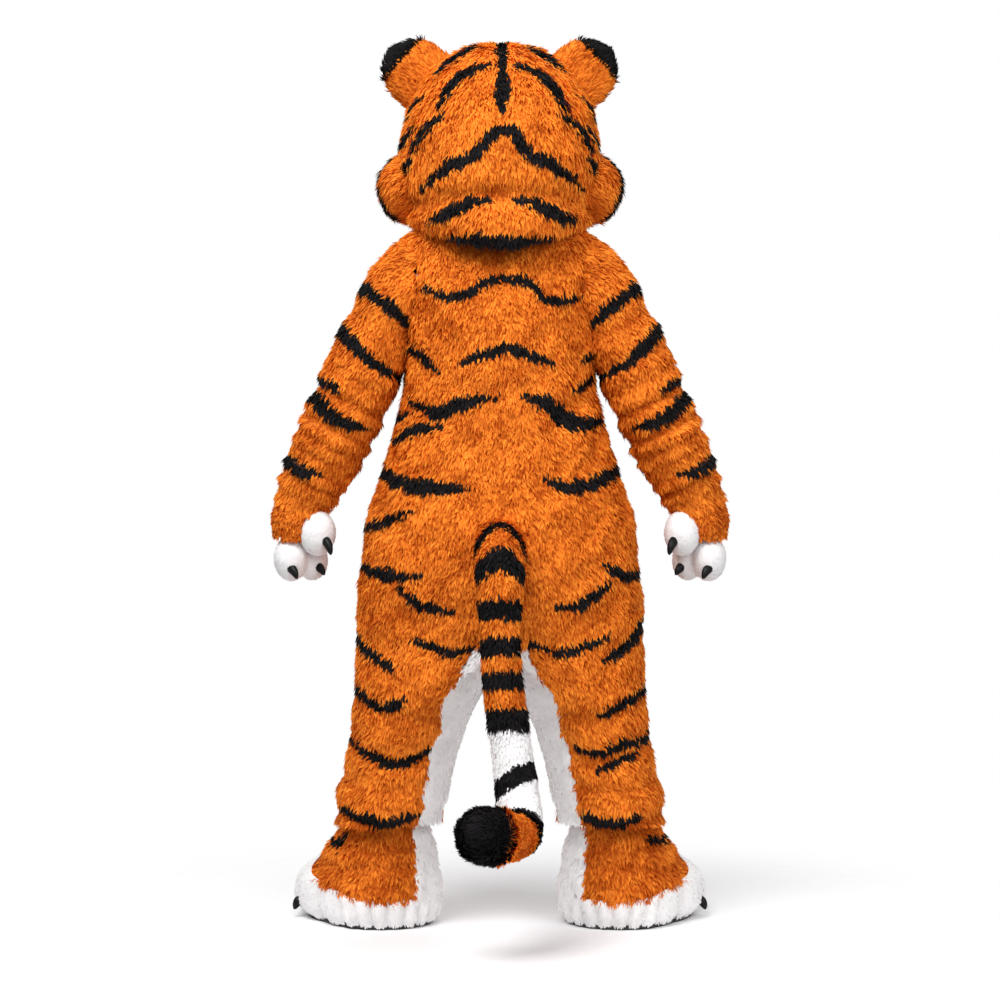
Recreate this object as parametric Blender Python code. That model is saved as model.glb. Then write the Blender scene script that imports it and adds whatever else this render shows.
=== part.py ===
"""Tiger mascot costume, filled out as it is worn: a head, a body suit with sleeves, legs and a tail, two paws
and two boots. Each sewn piece is a thin wall of cloth on the costume's form, and each stuffed piece is a solid.

Metres, +Z up. The costume faces -Y, the wearer's left is +X, and the origin is between the wearer's shoulders.
Heights in the tables are above the floor.
"""

import math

import bmesh
import bpy
from mathutils import Matrix, Vector

# ---------------------------------------------------------------- driving dimensions
ORIGIN_HEIGHT = 1.44  # the wearer's shoulders above the floor
CLOTH = 0.003  # fur backing
HEAD_WALL = 0.006  # fur backing on the head's foam
BOOT_WALL = 0.004
SEAM = 0.0003  # between sewn pieces
CROTCH_HEIGHT = 0.600
BELLY_TOP = 1.345
FACE_EDGE = math.radians(10)  # the face's seam lies this far in front of the head's side
TOE_OUT = math.radians(38)
HEEL_AXIS = (0.238, -0.012)  # x and y of the ankle
TOE_SPREAD = math.radians(70)  # the toes reach this far to each side of straight ahead
TOES = 4
SOLE_TOP = 0.0093
BAND_HEIGHT = 0.063  # the white band at the heel
INSTEP_RISE = 0.090  # how much higher the white reaches over the toes

COLOURS = {
    "orange_fur": (0.86, 0.30, 0.03, 1.0),
    "white_fur": (0.90, 0.88, 0.87, 1.0),
    "black_fur": (0.012, 0.012, 0.014, 1.0),
    "claw": (0.012, 0.012, 0.013, 1.0),
    "eye": (0.93, 0.93, 0.90, 1.0),
    "sole": (0.02, 0.02, 0.02, 1.0),
}
ROUGHNESS = {"claw": 0.25, "eye": 0.15, "sole": 0.7}
FUR_ROUGHNESS = 0.9

# ---------------------------------------------------------------- sections
# The trunk, from the crotch up to the neck opening.
TORSO = [
    # height, side, back, front
    (0.600, 0.304, 0.200, 0.208),
    (0.690, 0.302, 0.212, 0.225),
    (0.770, 0.292, 0.212, 0.238),
    (0.853, 0.284, 0.203, 0.243),
    (0.964, 0.249, 0.182, 0.227),
    (1.038, 0.228, 0.172, 0.206),
    (1.130, 0.206, 0.168, 0.183),
    (1.240, 0.201, 0.168, 0.164),
    (1.330, 0.205, 0.158, 0.149),
    (1.400, 0.212, 0.138, 0.130),
    (1.440, 0.212, 0.118, 0.112),
    (1.465, 0.184, 0.103, 0.095),
    (1.485, 0.137, 0.090, 0.082),
    (1.500, 0.105, 0.081, 0.075),
]
# Half the belly panel's spread about the front, in degrees.
BELLY = [
    # height, spread
    (0.600, 27.0),
    (0.690, 31.0),
    (0.770, 34.0),
    (0.964, 37.0),
    (1.130, 35.0),
    (1.240, 28.0),
    (1.315, 16.0),
    (1.345, 1.0),
]
# The head, from its hanging lower edge up to the crown. The lower edge lifts over the shoulders.
HEAD = [
    # height, side, back, front, lift
    (1.425, 0.180, 0.188, 0.152, 0.056),
    (1.450, 0.189, 0.201, 0.167, 0.041),
    (1.485, 0.190, 0.204, 0.181, 0.016),
    (1.520, 0.187, 0.196, 0.191, 0.000),
    (1.560, 0.199, 0.207, 0.202, 0.000),
    (1.610, 0.209, 0.215, 0.208, 0.000),
    (1.660, 0.210, 0.215, 0.205, 0.000),
    (1.705, 0.202, 0.209, 0.197, 0.000),
    (1.745, 0.189, 0.197, 0.184, 0.000),
    (1.782, 0.169, 0.178, 0.166, 0.000),
    (1.815, 0.143, 0.152, 0.142, 0.000),
    (1.840, 0.113, 0.121, 0.113, 0.000),
    (1.856, 0.079, 0.085, 0.081, 0.000),
    (1.865, 0.038, 0.041, 0.039, 0.000),
    (1.867, 0.002, 0.002, 0.002, 0.000),
]
# A leg, from the crotch down to its hem. Join 1 is half of the trunk's own section, flat on the inside.
LEG = [
    # height, centre, half_width, back, front, join
    (0.600, 0.152, 0.152, 0.200, 0.208, 1.00),
    (0.560, 0.163, 0.143, 0.194, 0.200, 0.72),
    (0.500, 0.179, 0.133, 0.174, 0.178, 0.34),
    (0.430, 0.194, 0.122, 0.152, 0.155, 0.10),
    (0.370, 0.204, 0.119, 0.140, 0.141, 0.00),
    (0.325, 0.213, 0.118, 0.134, 0.135, 0.00),
    (0.285, 0.224, 0.120, 0.138, 0.139, 0.00),
    (0.255, 0.228, 0.117, 0.134, 0.136, 0.00),
    (0.222, 0.234, 0.112, 0.124, 0.126, 0.00),
]
# Where the white inner panel of a leg starts and ends, in degrees from straight out towards the back.
INNER_LEG = [
    # height, back_edge, front_edge
    (0.600, 80.5, 262.0),
    (0.560, 83.5, 255.0),
    (0.500, 97.0, 241.0),
    (0.430, 118.0, 225.0),
    (0.370, 121.0, 212.0),
    (0.325, 121.0, 203.0),
    (0.285, 122.0, 197.0),
    (0.255, 125.0, 192.0),
    (0.222, 127.0, 189.0),
]
# A boot, about its ankle, from the sole up into the leg's hem.
BOOT = [
    # height, back, front, half_width, toe_bulge
    (0.0096, 0.090, 0.255, 0.112, 0.006),
    (0.030, 0.098, 0.272, 0.124, 0.012),
    (0.060, 0.100, 0.270, 0.128, 0.012),
    (0.090, 0.100, 0.258, 0.128, 0.010),
    (0.112, 0.100, 0.228, 0.120, 0.005),
    (0.135, 0.099, 0.188, 0.114, 0.000),
    (0.160, 0.098, 0.154, 0.108, 0.000),
    (0.185, 0.096, 0.124, 0.102, 0.000),
    (0.214, 0.090, 0.094, 0.090, 0.000),
    (0.245, 0.087, 0.088, 0.086, 0.000),
]
# A sleeve, from inside the shoulder down to its hem, with a row for the crest and the trough of each gathered roll.
SLEEVE = [
    # x, y, height, radius
    (0.100, 0.004, 1.402, 0.052),
    (0.150, 0.003, 1.392, 0.073),
    (0.190, 0.002, 1.362, 0.084),
    (0.237, 0.000, 1.283, 0.080),
    (0.280, 0.000, 1.197, 0.082),
    (0.309, 0.000, 1.130, 0.081),
    (0.318, -0.002, 1.109, 0.077),
    (0.328, -0.004, 1.087, 0.083),
    (0.338, -0.007, 1.065, 0.077),
    (0.349, -0.010, 1.043, 0.083),
    (0.359, -0.013, 1.022, 0.076),
    (0.369, -0.016, 1.001, 0.079),
    (0.379, -0.019, 0.980, 0.071),
    (0.390, -0.022, 0.961, 0.073),
    (0.400, -0.025, 0.941, 0.066),
    (0.410, -0.028, 0.922, 0.067),
    (0.418, -0.031, 0.904, 0.060),
    (0.425, -0.034, 0.887, 0.061),
]
# A paw's mitt, from inside the sleeve's hem down to the fingers.
MITT = [
    # x, y, height, radius
    (0.414, -0.030, 0.914, 0.050),
    (0.424, -0.034, 0.890, 0.053),
    (0.430, -0.037, 0.866, 0.058),
    (0.431, -0.040, 0.842, 0.058),
    (0.433, -0.042, 0.820, 0.054),
]
# The tail, from inside the back to its last ring.
TAIL = [
    # x, y, height, radius
    (0.000, 0.150, 0.815, 0.048),
    (0.000, 0.215, 0.812, 0.051),
    (0.000, 0.250, 0.795, 0.052),
    (0.000, 0.272, 0.762, 0.050),
    (0.000, 0.281, 0.715, 0.046),
    (0.000, 0.283, 0.655, 0.042),
    (-0.001, 0.283, 0.595, 0.040),
    (-0.006, 0.283, 0.530, 0.040),
    (-0.018, 0.286, 0.437, 0.041),
    (-0.025, 0.292, 0.385, 0.043),
    (-0.031, 0.303, 0.340, 0.045),
    (-0.036, 0.320, 0.300, 0.046),
    (-0.039, 0.345, 0.268, 0.047),
    (-0.036, 0.375, 0.249, 0.048),
    (-0.024, 0.404, 0.243, 0.050),
    (0.001, 0.432, 0.246, 0.052),
    (0.032, 0.456, 0.254, 0.054),
    (0.047, 0.468, 0.259, 0.050),
    (0.057, 0.476, 0.262, 0.038),
    (0.064, 0.482, 0.265, 0.018),
]
TAIL_SPLITS = (0, 8, 13, 15, 19)  # rows where the upper part, the lower part, the band and the tip start and end
# An ear, along its own axis, from inside the head to its tip.
EAR_BASE = (0.153, 0.0, 1.788)
EAR_DIRECTION = (0.747, 0.0, 0.664)
EAR = [
    # along, half_width, half_depth
    (-0.050, 0.066, 0.030),
    (0.000, 0.071, 0.031),
    (0.036, 0.071, 0.029),
    (0.068, 0.061, 0.026),
    (0.087, 0.047, 0.022),
    (0.100, 0.028, 0.015),
    (0.106, 0.007, 0.006),
]
EAR_TIP_ROW = 3
# Stuffed forms, each an ellipsoid on the costume's left or on its middle.
CHEEK = ((0.186, -0.040, 1.570), (0.069, 0.090, 0.072))
MUZZLE_LOBE = ((0.045, -0.212, 1.560), (0.066, 0.070, 0.055))
CHIN = ((0.0, -0.195, 1.503), (0.058, 0.058, 0.036))
NOSE = ((0.0, -0.268, 1.597), (0.036, 0.026, 0.022))
EYE = ((0.078, -0.176, 1.668), (0.038, 0.022, 0.046))
THUMB = ((0.388, -0.004, 0.830), (0.037, 0.036, 0.047))
FINGERS = [
    # centre, radii
    ((0.446, -0.030, 0.776), (0.037, 0.042, 0.049)),
    ((0.404, -0.058, 0.770), (0.034, 0.036, 0.042)),
    ((0.436, -0.085, 0.784), (0.033, 0.032, 0.044)),
]
# Claws of a paw: the lobe each stands on, where its root lies and where its point is.
PAW_CLAWS = [
    # name, lobe, root, point
    ("thumb", THUMB, (0.371, 0.018, 0.816), (0.356, 0.038, 0.784)),
    ("outer", FINGERS[0], (0.449, -0.004, 0.758), (0.429, 0.016, 0.733)),
    ("middle", FINGERS[1], (0.396, -0.040, 0.760), (0.374, -0.022, 0.740)),
    ("front", FINGERS[2], (0.434, -0.104, 0.772), (0.428, -0.122, 0.744)),
]
CLAW_RADIUS = 0.0115
TOE_CLAW_HEIGHTS = (0.040, 0.018)  # root and point
TOE_CLAW_REACH = (-0.012, 0.020)  # root and point, out from the toe
SPHERE_SEGMENTS, SPHERE_RINGS = 12, 8


# ---------------------------------------------------------------- scene and materials
def clear_scene():
    for obj in list(bpy.data.objects):
        bpy.data.objects.remove(obj)


def make_collection(name):
    collection = bpy.data.collections.new(name)
    bpy.context.scene.collection.children.link(collection)
    return collection


def make_material(name):
    material = bpy.data.materials.new(name)
    material.use_nodes = True
    shader = material.node_tree.nodes["Principled BSDF"]
    shader.inputs["Base Color"].default_value = COLOURS[name]
    shader.inputs["Roughness"].default_value = ROUGHNESS.get(name, FUR_ROUGHNESS)
    shader.inputs["Metallic"].default_value = 0.0
    return material


clear_scene()
COSTUME = make_collection("tiger_mascot_costume")
CUTTERS = make_collection("cutters")
MATERIALS = {name: make_material(name) for name in COLOURS}


# ---------------------------------------------------------------- forms
def section(rows, at):
    """The row of numbers at this height or distance, between the table's rows. Rows run up or down."""
    rows = sorted(rows)
    at = min(max(at, rows[0][0]), rows[-1][0])
    for low, high in zip(rows, rows[1:]):
        if at <= high[0]:
            share = (at - low[0]) / (high[0] - low[0])
            return [a + (b - a) * share for a, b in zip(low, high)]
    return list(rows[-1])


def torso(height, angle):
    """A point of the trunk. Angle 0 is the left side and a quarter turn is the middle of the back."""
    _, side, back, front = section(TORSO, height)
    depth = back if math.sin(angle) > 0 else front
    return Vector((side * math.cos(angle), depth * math.sin(angle), height - ORIGIN_HEIGHT))


def head(height, angle):
    """A point of the head, with angles as on the trunk."""
    _, side, back, front, lift = section(HEAD, height)
    depth = back if math.sin(angle) > 0 else front
    raised = height + lift * math.cos(angle) ** 2 - ORIGIN_HEIGHT
    return Vector((side * math.cos(angle), depth * math.sin(angle), raised))


def leg(height, angle):
    """A point of the left leg. Angle 0 is straight out and a quarter turn is the back."""
    _, centre, half_width, back, front, join = section(LEG, height)
    depth = back if math.sin(angle) > 0 else front
    x = centre + half_width * math.cos(angle)
    y = depth * math.sin(angle)
    if join > 0:
        _, side, trunk_back, trunk_front = section(TORSO, CROTCH_HEIGHT)
        trunk_depth = trunk_back if math.sin(angle) > 0 else trunk_front
        half_x = max(side * math.cos(angle), SEAM / 2)
        x = join * half_x + (1 - join) * x
        y = join * trunk_depth * math.sin(angle) + (1 - join) * y
    return Vector((x, y, height - ORIGIN_HEIGHT))


def boot(height, angle):
    """A point of the left boot. Angle 0 is straight ahead of the foot and a quarter turn is its outer side."""
    _, back, front, half_width, toe_bulge = section(BOOT, height)
    turned = math.atan2(math.sin(angle), math.cos(angle))
    bulge = 0.0
    if abs(turned) < TOE_SPREAD:
        bulge = toe_bulge * abs(math.sin(math.pi * turned * TOES / (2 * TOE_SPREAD))) ** 0.7
    reach = (front if math.cos(angle) > 0 else back) + bulge
    forward = reach * math.cos(angle)
    outward = (half_width + bulge) * math.sin(angle) * (1 + 0.12 * math.cos(angle))
    x = HEEL_AXIS[0] + forward * math.sin(TOE_OUT) + outward * math.cos(TOE_OUT)
    y = HEEL_AXIS[1] - forward * math.cos(TOE_OUT) + outward * math.sin(TOE_OUT)
    return Vector((x, y, height - ORIGIN_HEIGHT))


def tube(rows):
    """A form that follows the rows' centres. Along it, 0 is the first row, 1 the second, and so on."""
    centres = [Vector((x, y, height - ORIGIN_HEIGHT)) for x, y, height, *_ in rows]
    last = len(rows) - 1

    def point(along, angle):
        index = min(int(along), last - 1)
        share = along - index
        centre = centres[index].lerp(centres[index + 1], share)
        near = round(along)
        tangent = (centres[min(near + 1, last)] - centres[max(near - 1, 0)]).normalized()
        across = (Vector((1, 0, 0)) - tangent * tangent.x).normalized()
        deep = tangent.cross(across)
        wide, thick = (rows[index][k] * (1 - share) + rows[index + 1][k] * share for k in (3, -1))
        return centre + across * (wide * math.cos(angle)) + deep * (thick * math.sin(angle))

    return point


def ear_rows(first, last):
    base, direction = Vector(EAR_BASE), Vector(EAR_DIRECTION).normalized()
    return [(*(base + direction * along), wide, thick) for along, wide, thick in EAR[first : last + 1]]


def outward(form, along, angle, step=1e-3):
    """The form's outward direction."""
    around = form(along, angle + step) - form(along, angle - step)
    onward = form(along + step, angle) - form(along - step, angle)
    return around.cross(onward).normalized()


# ---------------------------------------------------------------- making pieces
def add_piece(name, mesh, material, collection=COSTUME):
    obj = bpy.data.objects.new(name, mesh)
    collection.objects.link(obj)
    if material:
        mesh.materials.append(MATERIALS[material])
    else:
        obj.hide_render = True
        obj.display_type = "WIRE"
    return obj


def finish_mesh(name, bm, mirrored):
    if mirrored:
        bmesh.ops.scale(bm, vec=(-1, 1, 1), verts=bm.verts)
    bmesh.ops.recalc_face_normals(bm, faces=bm.faces)
    mesh = bpy.data.meshes.new(name)
    bm.to_mesh(mesh)
    bm.free()
    mesh.shade_smooth()
    mesh.set_sharp_from_angle(angle=math.radians(45))
    return mesh


def cloth(name, form, grid, wall, material, closed=False, mirrored=False, level=None):
    """A wall of cloth. Grid holds rows of (along, angle), and closed joins each row's ends into a ring.

    Level is the row that meets a seam across the form, so both of its faces keep one height.
    """
    bm = bmesh.new()
    layers = []
    for depth in (0.0, wall):
        layer = []
        for number, row in enumerate(grid):
            points = []
            for along, angle in row:
                direction = outward(form, along, angle)
                if number == level:
                    direction = Vector((direction.x, direction.y, 0)).normalized()
                points.append(bm.verts.new(form(along, angle) - direction * depth))
            layer.append(points)
        layers.append(layer)
    outer, inner = layers
    rows, columns = len(grid), len(grid[0])
    steps = [(j, (j + 1) % columns) for j in range(columns if closed else columns - 1)]
    for layer in layers:
        for i in range(rows - 1):
            for j, k in steps:
                bm.faces.new((layer[i][j], layer[i][k], layer[i + 1][k], layer[i + 1][j]))
    for i in (0, rows - 1):
        for j, k in steps:
            bm.faces.new((outer[i][j], outer[i][k], inner[i][k], inner[i][j]))
    if not closed:
        for j in (0, columns - 1):
            for i in range(rows - 1):
                bm.faces.new((outer[i][j], outer[i + 1][j], inner[i + 1][j], inner[i][j]))
    return add_piece(name, finish_mesh(name, bm, mirrored), material)


def lofted(name, form, alongs, segments, material=None, grow=0.0, mirrored=False):
    """A solid through rings of the form, with flat ends. Grow moves its sides out."""
    bm = bmesh.new()
    rings = []
    for along in alongs:
        turns = [math.tau * j / segments for j in range(segments)]
        rings.append([bm.verts.new(form(along, v) + outward(form, along, v) * grow) for v in turns])
    for low, high in zip(rings, rings[1:]):
        for j in range(segments):
            k = (j + 1) % segments
            bm.faces.new((low[j], low[k], high[k], high[j]))
    bm.faces.new(rings[0])
    bm.faces.new(rings[-1])
    collection = COSTUME if material else CUTTERS
    return add_piece(name, finish_mesh(name, bm, mirrored), material, collection)


def ellipsoid(name, shape, material=None, grow=0.0, side=1):
    """A stuffed ellipsoid, or a cutter if it has no material. Side -1 puts it on the costume's right."""
    (x, y, height), radii = shape
    bm = bmesh.new()
    place = Matrix.Translation((side * x, y, height - ORIGIN_HEIGHT))
    scale = Matrix.Diagonal((*(r + grow for r in radii), 1.0))
    bmesh.ops.create_uvsphere(
        bm, u_segments=SPHERE_SEGMENTS, v_segments=SPHERE_RINGS, radius=1.0, matrix=place @ scale
    )
    collection = COSTUME if material else CUTTERS
    return add_piece(name, finish_mesh(name, bm, False), material, collection)


def join(obj, other, operation="DIFFERENCE"):
    modifier = obj.modifiers.new(operation.lower(), "BOOLEAN")
    modifier.operation = operation
    modifier.object = other


def joined_lobes(name, shapes, material=None, grow=0.0, sides=(1,)):
    """Overlapping ellipsoids made one."""
    places = [(shape, side) for shape in shapes for side in sides]
    first = ellipsoid(name, places[0][0], material, grow, places[0][1])
    for number, (shape, side) in enumerate(places[1:]):
        join(first, ellipsoid(f"{name}_lobe_{number}", shape, None, grow, side), "UNION")
    return first


def claw(name, root, point, material="claw", segments=8):
    """A pointed claw that curves a little on its way from root to point."""
    root, point = Vector(root), Vector(point)
    axis = (point - root).normalized()
    across = axis.cross(Vector((0, 0, 1))).normalized()
    up = across.cross(axis)
    bm = bmesh.new()
    rings = []
    for share in (0.0, 0.35, 0.65, 0.88):
        centre = root.lerp(point, share) + up * (0.003 * math.sin(math.pi * share))
        radius = CLAW_RADIUS * math.sqrt(1 - share**1.6)
        turns = [math.tau * j / segments for j in range(segments)]
        ring = [centre + (across * math.cos(v) + up * math.sin(v)) * radius for v in turns]
        rings.append([bm.verts.new(p) for p in ring])
    tip = bm.verts.new(point)
    for j in range(segments):
        k = (j + 1) % segments
        for low, high in zip(rings, rings[1:]):
            bm.faces.new((low[j], low[k], high[k], high[j]))
        bm.faces.new((rings[-1][j], rings[-1][k], tip))
    bm.faces.new(rings[0])
    return add_piece(name, finish_mesh(name, bm, False), material)


def spread(start, end, steps):
    return [start + (end - start) * i / steps for i in range(steps + 1)]


def inset(form, along, start, end):
    """The two angles moved together by half a seam each."""
    radius = (form(along, start) - form(along, end)).length
    turn = SEAM / 2 / max(radius, 0.003) * abs(end - start)
    return start + turn, end - turn


def panel_grid(form, heights, edges, steps):
    """Rows of (height, angle) between the two edges that edges(height) gives."""
    grid = []
    for height in heights:
        start, end = inset(form, height, *edges(height))
        grid.append([(height, angle) for angle in spread(start, end, steps)])
    return grid


def ring_grid(alongs, segments):
    return [[(along, math.tau * j / segments) for j in range(segments)] for along in alongs]


# ---------------------------------------------------------------- body suit
def belly_spread(height):
    """Half the belly's width as an angle, or 0 above the belly."""
    return math.radians(section(BELLY, height)[1]) if height <= BELLY_TOP else 0.0


def make_trunk():
    low, high = CROTCH_HEIGHT + SEAM / 2, TORSO[-1][0]
    heights = sorted({low, high, *(row[0] for row in TORSO[1:])})
    quarter = math.pi / 2
    front_heights = sorted({*heights, BELLY[-2][0], BELLY_TOP, BELLY_TOP + 3 * SEAM})
    panels = {
        "back_left": (heights, lambda h: (0.0, quarter), 6),
        "back_right": (heights, lambda h: (quarter, 2 * quarter), 6),
        "front_right": (front_heights, lambda h: (2 * quarter, 3 * quarter - belly_spread(h)), 5),
        "front_left": (front_heights, lambda h: (3 * quarter + belly_spread(h), 4 * quarter), 5),
    }
    bores = [lofted(f"bore_{i}", tube([(*row[:3], row[3] - CLOTH) for row in SLEEVE]), range(7), 20, mirrored=bool(i))
             for i in (0, 1)]
    for name, (levels, edges, steps) in panels.items():
        piece = cloth(name, torso, panel_grid(torso, levels, edges, steps), CLOTH, "orange_fur", level=0)
        join(piece, bores[name.endswith("right")])
    belly_heights = [h for h in front_heights if h <= BELLY_TOP]
    edges = lambda h: (3 * quarter - belly_spread(h), 3 * quarter + belly_spread(h))
    cloth("belly", torso, panel_grid(torso, belly_heights, edges, 6), CLOTH, "white_fur", level=0)


def make_sleeves(trunk_solid):
    for name, mirrored in (("left", False), ("right", True)):
        grid = ring_grid(range(len(SLEEVE)), 14)
        sleeve = cloth(f"sleeve_{name}", tube(SLEEVE), grid, CLOTH, "orange_fur", True, mirrored)
        join(sleeve, trunk_solid)


def leg_edges(height):
    _, back_edge, front_edge = section(INNER_LEG, height)
    return math.radians(back_edge), math.radians(front_edge)


def make_legs():
    heights = [row[0] for row in LEG]
    heights[0] -= SEAM
    outer_edges = lambda h: (leg_edges(h)[1] - math.tau, leg_edges(h)[0])
    for name, mirrored in (("left", False), ("right", True)):
        outer = panel_grid(leg, heights[::-1], outer_edges, 11)
        cloth(f"leg_{name}", leg, outer, CLOTH, "orange_fur", False, mirrored, len(heights) - 1)
        inner = panel_grid(leg, heights[::-1], leg_edges, 7)
        cloth(f"inner_leg_{name}", leg, inner, CLOTH, "white_fur", False, mirrored, len(heights) - 1)


def make_tail(trunk_solid):
    parts = zip(("tail_upper", "tail_lower", "tail_band", "tail_tip"), TAIL_SPLITS, TAIL_SPLITS[1:])
    colours = {"tail_lower": "white_fur", "tail_tip": "black_fur"}
    for name, first, last in parts:
        alongs = [float(row) for row in range(first, last + 1)]
        if first:
            spacing = (Vector(TAIL[first + 1][:3]) - Vector(TAIL[first][:3])).length
            alongs[0] += SEAM / spacing
        part = lofted(name, tube(TAIL), alongs, 12, colours.get(name, "orange_fur"))
        if not first:
            join(part, trunk_solid)


# ---------------------------------------------------------------- head
def make_head():
    heights = [row[0] for row in HEAD]
    quarter = math.pi / 2
    panels = {
        "head_back_left": (-FACE_EDGE, quarter, 7),
        "head_back_right": (quarter, 2 * quarter + FACE_EDGE, 7),
        "face": (2 * quarter + FACE_EDGE, 4 * quarter - FACE_EDGE, 12),
    }
    for name, (start, end, steps) in panels.items():
        grid = panel_grid(head, heights, lambda h: (start, end), steps)
        cloth(name, head, grid, HEAD_WALL, "orange_fur")


def make_ears(head_solid):
    for name, mirrored in (("left", False), ("right", True)):
        rows = ear_rows(0, len(EAR) - 1)
        split = EAR_TIP_ROW + SEAM / (EAR[EAR_TIP_ROW + 1][0] - EAR[EAR_TIP_ROW][0])
        base = lofted(f"ear_{name}", tube(rows), range(EAR_TIP_ROW + 1), 14, "orange_fur", 0.0, mirrored)
        join(base, head_solid)
        tip_rows = [split, *range(EAR_TIP_ROW + 1, len(EAR))]
        lofted(f"ear_tip_{name}", tube(rows), tip_rows, 14, "black_fur", 0.0, mirrored)


def make_face_forms(head_solid):
    """Stuffed forms and hard pieces on the face, each cut to lie on what is under it."""
    for name, side in (("left", 1), ("right", -1)):
        join(ellipsoid(f"cheek_{name}", CHEEK, "orange_fur", 0.0, side), head_solid)
        join(ellipsoid(f"eye_{name}", EYE, "eye", 0.0, side), head_solid)
    muzzle = joined_lobes("muzzle", [MUZZLE_LOBE], "white_fur", 0.0, (1, -1))
    muzzle_solid = joined_lobes("muzzle_solid", [MUZZLE_LOBE], None, SEAM, (1, -1))
    join(muzzle, head_solid)
    chin = ellipsoid("chin", CHIN, "white_fur")
    nose = ellipsoid("nose", NOSE, "claw")
    for piece in (chin, nose):
        join(piece, head_solid)
        join(piece, muzzle_solid)


# ---------------------------------------------------------------- paws and boots
def mirror_point(point, side):
    return (side * point[0], point[1], point[2] - ORIGIN_HEIGHT)


def make_paws():
    for name, side in (("left", 1), ("right", -1)):
        mirrored = side < 0
        grid = ring_grid(range(len(MITT)), 14)
        cloth(f"mitt_{name}", tube(MITT), grid, CLOTH, "orange_fur", True, mirrored)
        mitt_solid = lofted(f"mitt_solid_{name}", tube(MITT), range(len(MITT)), 14, None, SEAM, mirrored)
        end = lofted(f"mitt_end_{name}", tube(MITT), (len(MITT) - 2, len(MITT) - 1 + 0.01), 14, None, SEAM, mirrored)
        fingers = joined_lobes(f"fingers_{name}", FINGERS, "white_fur", 0.0, (side,))
        thumb = ellipsoid(f"thumb_{name}", THUMB, "white_fur", 0.0, side)
        cuff = lofted(f"cuff_{name}", tube(SLEEVE), (*range(13, len(SLEEVE)), len(SLEEVE) - 0.97), 32, None, SEAM, mirrored)
        for piece in (fingers, thumb):
            join(piece, mitt_solid)
            join(piece, end)
            join(piece, cuff)
        join(thumb, joined_lobes(f"fingers_solid_{name}", FINGERS, None, SEAM, (side,)))
        for claw_name, lobe, root, point in PAW_CLAWS:
            title = f"paw_claw_{name}_{claw_name}"
            piece = claw(title, mirror_point(root, side), mirror_point(point, side))
            join(piece, ellipsoid(f"{title}_bed", lobe, None, SEAM, side))
            if lobe is THUMB:
                join(piece, joined_lobes(f"{title}_fingers", FINGERS, None, SEAM, (side,)))
            else:
                join(piece, joined_lobes(f"{title}_other", FINGERS, None, SEAM, (side,)))
                join(piece, ellipsoid(f"{title}_thumb", THUMB, None, SEAM, side))


def band_top(angle):
    """The height of the seam between a boot's white foot and its orange upper."""
    return BAND_HEIGHT + INSTEP_RISE * ((1 + math.cos(angle)) / 2) ** 2.6


def boot_turns():
    """Angles round a boot, close together over the toes."""
    toes = spread(-TOE_SPREAD, TOE_SPREAD, 4 * TOES)
    heel = spread(TOE_SPREAD, math.tau - TOE_SPREAD, 12)
    return toes + heel[1:-1]


def upper_grid(start, end, steps):
    """The orange or white upper of a boot between two angles, from its seam with the foot to its top."""
    angles = spread(*inset(boot, 0.16, start, end), steps)
    grid = [[(band_top(angle) + 7 * SEAM, angle) for angle in angles]]
    heights = [row[0] for row in BOOT if row[0] > BAND_HEIGHT + INSTEP_RISE]
    return grid + [[(height, angle) for angle in angles] for height in heights]


def make_boots():
    inner_edges = math.radians(181), math.radians(251)
    for name, mirrored in (("left", False), ("right", True)):
        turns = boot_turns()
        levels = (0.0, 0.25, 0.6, 1.0)
        low = BOOT[0][0]
        grid = [[(low + (band_top(v) - low) * share, v) for v in turns] for share in levels]
        cloth(f"foot_{name}", boot, grid, BOOT_WALL, "white_fur", True, mirrored, len(levels) - 1)
        inner = upper_grid(*inner_edges, 4)
        cloth(f"upper_inner_{name}", boot, inner, BOOT_WALL, "white_fur", False, mirrored, 0)
        outer = upper_grid(inner_edges[1] - math.tau, inner_edges[0], 16)
        cloth(f"upper_{name}", boot, outer, BOOT_WALL, "orange_fur", False, mirrored, 0)
        make_sole(name, mirrored)
        make_toe_claws(name, mirrored)


def make_sole(name, mirrored):
    """A flat rubber sole, a little inside the foot's lower edge."""
    floor_height = 0.0

    def outline(along, angle):
        edge = boot(BOOT[0][0], angle)
        middle = Vector((*HEEL_AXIS, edge.z))
        point = middle.lerp(edge, 0.97)
        point.z = floor_height + SOLE_TOP * along - ORIGIN_HEIGHT
        return point

    lofted(f"sole_{name}", outline, (0, 1), 32, "sole", 0.0, mirrored)


def make_toe_claws(name, mirrored):
    foot_solid = lofted(f"foot_solid_{name}", boot, (BOOT[0][0], *(row[0] for row in BOOT[1:6])), 64, None, 0.0006, mirrored)
    root_height, point_height = TOE_CLAW_HEIGHTS
    side = -1 if mirrored else 1
    for number in range(TOES):
        angle = TOE_SPREAD * (2 * number + 1 - TOES) / TOES
        direction = outward(boot, root_height, angle)
        direction.z = 0
        root = boot(root_height, angle) + direction * TOE_CLAW_REACH[0]
        point = boot(point_height, angle) + direction * TOE_CLAW_REACH[1]
        place = [Vector((side * p.x, p.y, p.z)) for p in (root, point)]
        join(claw(f"toe_claw_{name}_{number + 1}", *place), foot_solid)


def main():
    trunk_heights = [row[0] for row in TORSO]
    trunk_solid = lofted("trunk_solid", torso, trunk_heights, 72, None, SEAM)
    head_solid = lofted("head_solid", head, [row[0] for row in HEAD[:-1]], 84, None, SEAM)
    make_trunk()
    make_sleeves(trunk_solid)
    make_legs()
    make_tail(trunk_solid)
    make_head()
    make_ears(head_solid)
    make_face_forms(head_solid)
    make_paws()
    make_boots()


main()
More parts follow.
